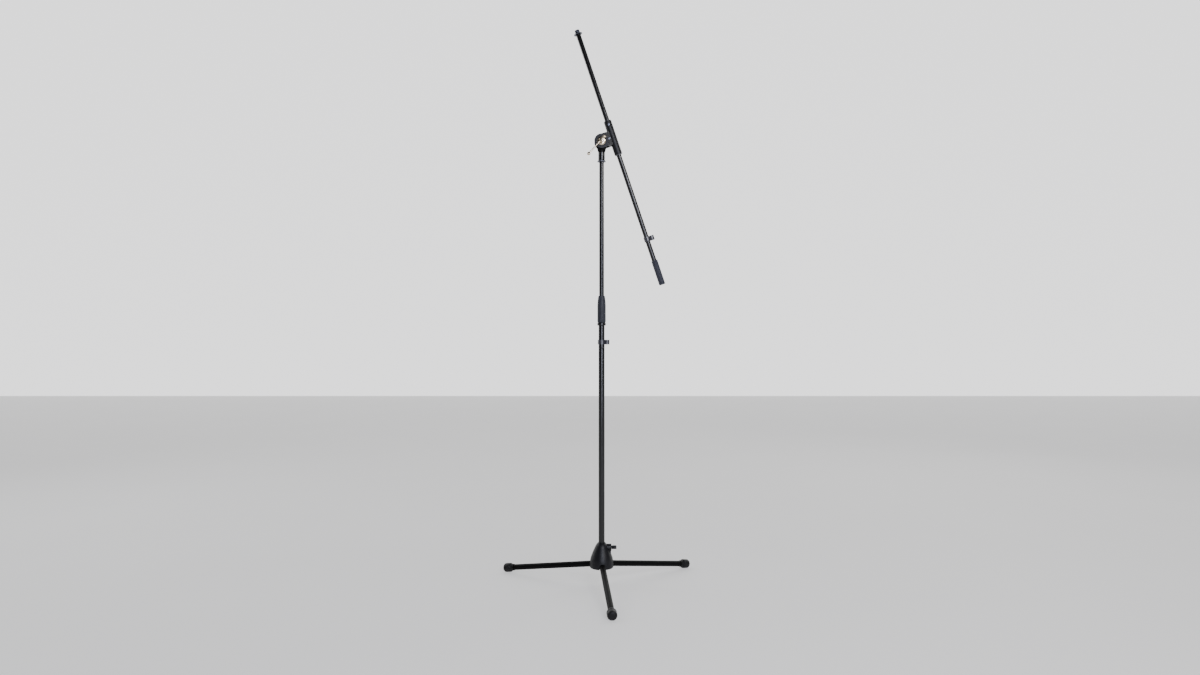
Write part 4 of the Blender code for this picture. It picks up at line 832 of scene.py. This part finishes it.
def clampShape(side):
    # an ear cylinder, an arm that narrows along a slope and half of a sleeve cylinder, less the rooms for
    # the lug, liner and screws and the other half; side is -1 for the front half and 1 for the back one
    near, far = sorted((-side * earInner, -side * earFar))
    ear = alongFront(rod(earRadius, near, far, clamp["sides"], clamp["earEdge"]))
    top = side * (earFar - clamp["armStep"])
    past = -side * beyond
    low, half = side * clamp["armEnd"], earRadius - clamp["armInset"]
    arm = prism([(clamp["armStart"], top), (clamp["slopeStart"], top), (clamp["slopeEnd"], low),
                 (boomAway, low), (boomAway, past), (clamp["armStart"], past)], -half, half)
    sleeve = rod(sleeveRadius, sleeveLow, sleeveHigh, clamp["sides"], clamp["sleeveEdge"])
    sleeve = shifted(sleeve, boomAway, 0, 0)
    long = clamp["through"]
    lugRoom = alongFront(rod(clamp["lugRoom"], -earInner, earInner, clamp["sides"]))
    neckRoom = slab((-clamp["neckRoom"], -earInner, -long), (clamp["neckRoom"], earInner, long))
    bore = shifted(rod(sleeveBore, -long, long, 96), boomAway, 0, 0)
    across = sorted((-side * long, side * clamp["split"]))
    otherHalf = slab((-long, across[0], -long), (long, across[1], long))
    screwHole = alongFront(rod(clamp["screwHole"], -long, long, 48))
    ringLow, ringHigh, ringFloor = clamp["ringLow"], clamp["ringHigh"], earFar - clamp["ringDepth"]
    ring = turned(rounded([(ringLow, ringFloor, 0), (ringHigh, ringFloor, 0), (ringHigh, earFar + mm, 0),
                           (ringLow, earFar + mm, 0)], 1), 96)
    ring = alongFront(swapped(ring, [0, 1, 2], (1, 1, -side)))
    seat = sleeveRadius - clamp["linerSink"]
    linerHole = alongFront(steppedHole(clamp["linerHole"], clamp["linerHead"], linerRadius - mm, seat))
    linerHole = shifted(swapped(linerHole, [0, 1, 2], (1, -side, 1)), boomAway, 0, linerAt)
    slope = (earFar - clamp["armStep"] - clamp["armEnd"]) / (clamp["slopeEnd"] - clamp["slopeStart"])
    face = earFar - clamp["armStep"] - slope * (shellAt - clamp["slopeStart"])
    shellHole = shifted(alongFront(steppedHole(clamp["shellHole"], clamp["headHole"], -9 * mm,
                                               face - clamp["shellSink"])), shellAt, 0, 0)
    taken = [lugRoom, neckRoom, bore, otherHalf, screwHole, ring, linerHole, shellHole]
    if side > 0:
        hexagon = arc((0, 0), clamp["nutPocket"], 0, 300, 5)
        taken.append(alongFront(prism(hexagon, -earFar - beyond, -earFar + clamp["nutDepth"])))
    return carved(ear, joined=[arm, sleeve], taken=taken)


for node, side in (("clamp_front", -1), ("clamp_back", 1)):
    show(node, clampShape(side), clampLie, "satin_black_plastic", clamp["edge"], 3)
print("clamp halves made")


# Small screws with a cross recess, the friction washers and the nut

small = {"recess": 0.55 * mm, "recessReach": 1.9 * mm, "recessDepth": 0.7 * mm, "shankShare": 0.4,
         "shellHead": 1.8 * mm, "linerHead": mm, "nutBore": 4.3 * mm, "nutEdge": 0.5 * mm}


def smallScrew(node, lie):
    # a shank and a wider head turned round, less two crossed boxes
    low, high, head = span(node, lie)
    shank = small["shankShare"] * head
    seat = high - (small["shellHead"] if node == "shell_screw" else small["linerHead"])
    body = turned(rounded([(0, low, 0), (shank, low, 0.2 * mm), (shank, seat, 0), (head, seat, 0.1 * mm),
                           (head, high, 0.35 * mm), (0, high, 0)]), 56)
    depth = high - small["recessDepth"]
    far, near = small["recessReach"], small["recess"]
    return carved(body, taken=[slab((-far, -near, depth), (far, near, high + mm)),
                               slab((-near, -far, depth), (near, far, high + mm))])


across = clampLie["turn"][:, 0]
linerPlace = boomMiddle + np.array(boomWay) * linerAt
for node, place, way in (("shell_screw", pivot + across * shellAt, front),
                         ("liner_screw_front", linerPlace, front),
                         ("liner_screw_back", linerPlace, (0, 1, 0))):
    lie = lieOf(place, way, across)
    show(node, smallScrew(node, lie), lie, "black_plated_steel")

nutLow, nutHigh, nutRadius = span("clamp_nut", earLie)
hexagon = prism(arc((0, 0), nutRadius, 0, 300, 5), nutLow, nutHigh)
nutBore = rod(small["nutBore"], nutLow - mm, nutHigh + mm, 48)
show("clamp_nut", carved(hexagon, taken=[nutBore]), earLie, "plain_steel", small["nutEdge"])
for node in ("friction_washer_front", "friction_washer_back"):
    low, high, bore, radius = reach(node, earLie)
    show(node, turned(band(bore, radius, low, high, 0.1 * mm, 0.25 * mm), 72), earLie, "inner_plastic")
print("small screws, nut and washers made")


# Clamp screw: a dished washer, a round head with a cross hole, a sliding bar and its two balls

handle = {"headDome": 3 * mm, "shank": 4 * mm, "barHole": 2.4 * mm, "pitch": 1.25 * mm,
          "threadDepth": 0.45 * mm, "threadLong": 9 * mm, "threadRows": 70, "ballHole": 3.8 * mm,
          "washerSeat": 8 * mm}

low, high, bore, cup = reach("cup_washer", screwLie)
seat = handle["washerSeat"]
dish = curveThrough([(cup, low + 0.7 * mm), (cup - 0.5 * mm, low + 1.5 * mm),
                     (cup - 2.2 * mm, low + 2.4 * mm), (seat + 1.6 * mm, high - 0.25 * mm),
                     (seat + 0.4 * mm, high)], 6)
rim = [(bore, low), (cup - 0.4 * mm, low), (cup - 0.1 * mm, low + 0.25 * mm)]
washer = np.vstack([rim, dish, [(bore, high)]])
show("cup_washer", turned(washer, 120), screwLie, "bright_nickel")

low, high, head = span("clamp_screw", screwLie)
headLow = reach("cup_washer", screwLie)[1] + play
shank, threadEnd = handle["shank"], low + handle["threadLong"]
threadRows = np.linspace(low + 0.7 * mm, threadEnd, handle["threadRows"])
skin = np.vstack([[(0, low), (shank - 0.7 * mm, low)], upright(shank, threadRows), [(shank, headLow)],
                  rounded([(head, headLow, 0.5 * mm), (head, high, handle["headDome"]), (0, high, 0)], 8)])
screwThread = thread(low + 0.2 * mm, threadEnd, handle["pitch"], handle["threadDepth"])
barHeight = float(-(barLie["origin"][1] - pivot[1]))
barHole = swapped(rod(handle["barHole"], -2 * head, 2 * head, 48), [2, 1, 0], (1, -1, 1))
barHole = shifted(barHole, 0, 0, barHeight)
show("clamp_screw", carved(turned(skin, 96, screwThread), taken=[barHole]), screwLie, "bright_nickel",
     0.25 * mm)

low, high, radius = span("tommy_bar", barLie)
show("tommy_bar", rod(radius, low, high, 48, 0.3 * mm), barLie, "bright_nickel")
for node, inward in (("bar_ball_1", 1), ("bar_ball_2", -1)):
    low, high, ball = span(node, barLie)
    centre = low + ball if inward > 0 else high - ball
    socket = radius + play
    mouthAngle = math.degrees(math.acos(socket / ball))
    skin = arc((0, 0), ball, -90, mouthAngle, 40)
    depth = ball - handle["ballHole"]
    skin = np.vstack([[(0, -ball)], skin[1:], [(socket, depth), (0, depth)]])
    skin[:, 1] = centre + inward * skin[:, 1]
    show(node, turned(skin, 64), barLie, "bright_nickel")
print("clamp screw made")


# Boom: the liner in the sleeve, and the rubber grip on the lower end

boom = {"linerEdge": 0.6 * mm, "grooveWidth": 4.4 * mm, "grooveDepth": mm, "gripEndEdge": 2.2 * mm,
        "gripMouthEdge": 0.8 * mm, "gripEndWall": 2 * mm, "gripRingAt": (5 * mm, 7.5 * mm),
        "gripRingWidth": mm, "gripRing": 0.35 * mm, "gripRingsBeyond": 9.9 * mm, "gripRows": 320}
low, high, bore, radius = reach("boom_liner", boomLie)
grooveLow, grooveHigh = linerAt - boom["grooveWidth"] / 2, linerAt + boom["grooveWidth"] / 2
waist = radius - boom["grooveDepth"]
liner = rounded([(bore, low, 0.3 * mm), (radius, low, boom["linerEdge"]), (radius, grooveLow, 0),
                 (waist, grooveLow, 0), (waist, grooveHigh, 0), (radius, grooveHigh, 0),
                 (radius, high, boom["linerEdge"]), (bore, high, 0.3 * mm)])
show("boom_liner", turned(liner, 96), boomLie, "inner_plastic")

low, high, radius = span("boom_grip", boomLie)
bore = reach("boom_tube", boomLie)[3] + play
endEdge, mouthEdge = boom["gripEndEdge"], boom["gripMouthEdge"]
side = np.linspace(low + endEdge, high - mouthEdge, boom["gripRows"])
gripSkin = np.vstack([[(0, low)], arc((radius - endEdge, low + endEdge), endEdge, -90, 0, 10),
                      upright(radius, side),
                      arc((radius - mouthEdge, high - mouthEdge), mouthEdge, 0, 90, 6),
                      [(bore, high), (bore, low + boom["gripEndWall"]), (0, low + boom["gripEndWall"])]])
places = boom["gripRingAt"]
rings = sunkRings([low + place for place in places] + [high - place for place in places],
                  boom["gripRingWidth"] / 2, boom["gripRing"], boom["gripRingsBeyond"])
show("boom_grip", turned(gripSkin, 96, rings), boomLie, "grip_rubber")
print("boom made")


# Pieces inside the others keep their CAD shape

for node in ("guide_bush", "clutch_collet", "lock_pad"):
    mesh = frame["nodes"][node].data
    mesh.materials.clear()
    mesh.materials.append(finishes["inner_plastic"])


# Floor, light and camera

stage = {"floor": (0.34, 0.337, 0.332), "floorSize": 40.0, "glow": 0.58, "sky": (0.97, 0.97, 0.98),
         "wallAt": 9.0, "wallTop": 14.0, "wallGlow": 1.7, "fill": 0.05}


def stageFinish(name, glow):
    # pale and glowing a little, so that the far floor and the backdrop stay light
    finish = Finish(name, **{"Specular IOR Level": 0.15, "Emission Color": (*stage["sky"], 1),
                             "Emission Strength": glow})
    cloud = finish.noise(0.6, 3.0)
    darker = tuple(0.97 * v for v in stage["floor"])
    return finish.wear(Base_Color=finish.blend(cloud, stage["floor"], darker), Roughness=0.6 + 0.1 * cloud)


def showStage(name, corners, glow):
    mesh = bpy.data.meshes.new(name)
    mesh.from_pydata(corners, [], [(0, 1, 2, 3)])
    mesh.materials.append(stageFinish(name, glow))
    linked(name, mesh)


size, wallAt, wallTop = stage["floorSize"], stage["wallAt"], stage["wallTop"]
showStage("floor", [(-size, -size, floorZ), (size, -size, floorZ), (size, wallAt, floorZ),
                    (-size, wallAt, floorZ)], stage["glow"])
showStage("backdrop", [(-size, wallAt, floorZ), (size, wallAt, floorZ), (size, wallAt, wallTop),
                       (-size, wallAt, wallTop)], stage["wallGlow"])

world = bpy.data.worlds.new("studio")
bpy.context.scene.world = world
world.use_nodes = True
sky = world.node_tree.nodes["Background"]
sky.inputs["Color"].default_value = (*stage["sky"], 1)
sky.inputs["Strength"].default_value = stage["fill"]

lamps = {"key": {"at": (1.9, -2.8, 2.5), "size": (0.8, 1.2), "power": 60, "colour": (1.0, 0.985, 0.96)},
         "soft": {"at": (0.72, -3.3, 1.45), "size": (0.8, 2.1), "power": 105, "colour": (0.8, 0.84, 1.0)},
         "fill": {"at": (-3.0, 1.2, 2.4), "size": (1.6, 2.0), "power": 45, "colour": (0.95, 0.97, 1.0)},
         "back": {"at": (2.4, 2.6, 2.6), "size": (1.6, 2.0), "power": 45, "colour": (1.0, 0.98, 0.96)}}
lookAt = np.array([0, 0, 0.85])
for name, lamp in lamps.items():
    light = bpy.data.lights.new(name, "AREA")
    light.shape = "RECTANGLE"
    light.size, light.size_y = lamp["size"]  # width, height
    light.energy = lamp["power"]
    light.color = lamp["colour"]
    obj = linked(name, light)
    away = np.array(lamp["at"]) - lookAt
    obj.location = lamp["at"]
    obj.rotation_euler = (math.acos(away[2] / np.linalg.norm(away)), 0, math.atan2(away[0], -away[1]))

view = {"at": (-0.0052, -2.799, 0.750), "lens": 25.89}
camera = bpy.data.cameras.new("camera")
camera.lens = view["lens"]
camera.sensor_width = 36
camera.sensor_fit = "HORIZONTAL"
cameraObject = linked("camera", camera)
cameraObject.location = view["at"]
cameraObject.rotation_euler = (math.pi / 2, 0, 0)
bpy.context.scene.camera = cameraObject
print("stage made")
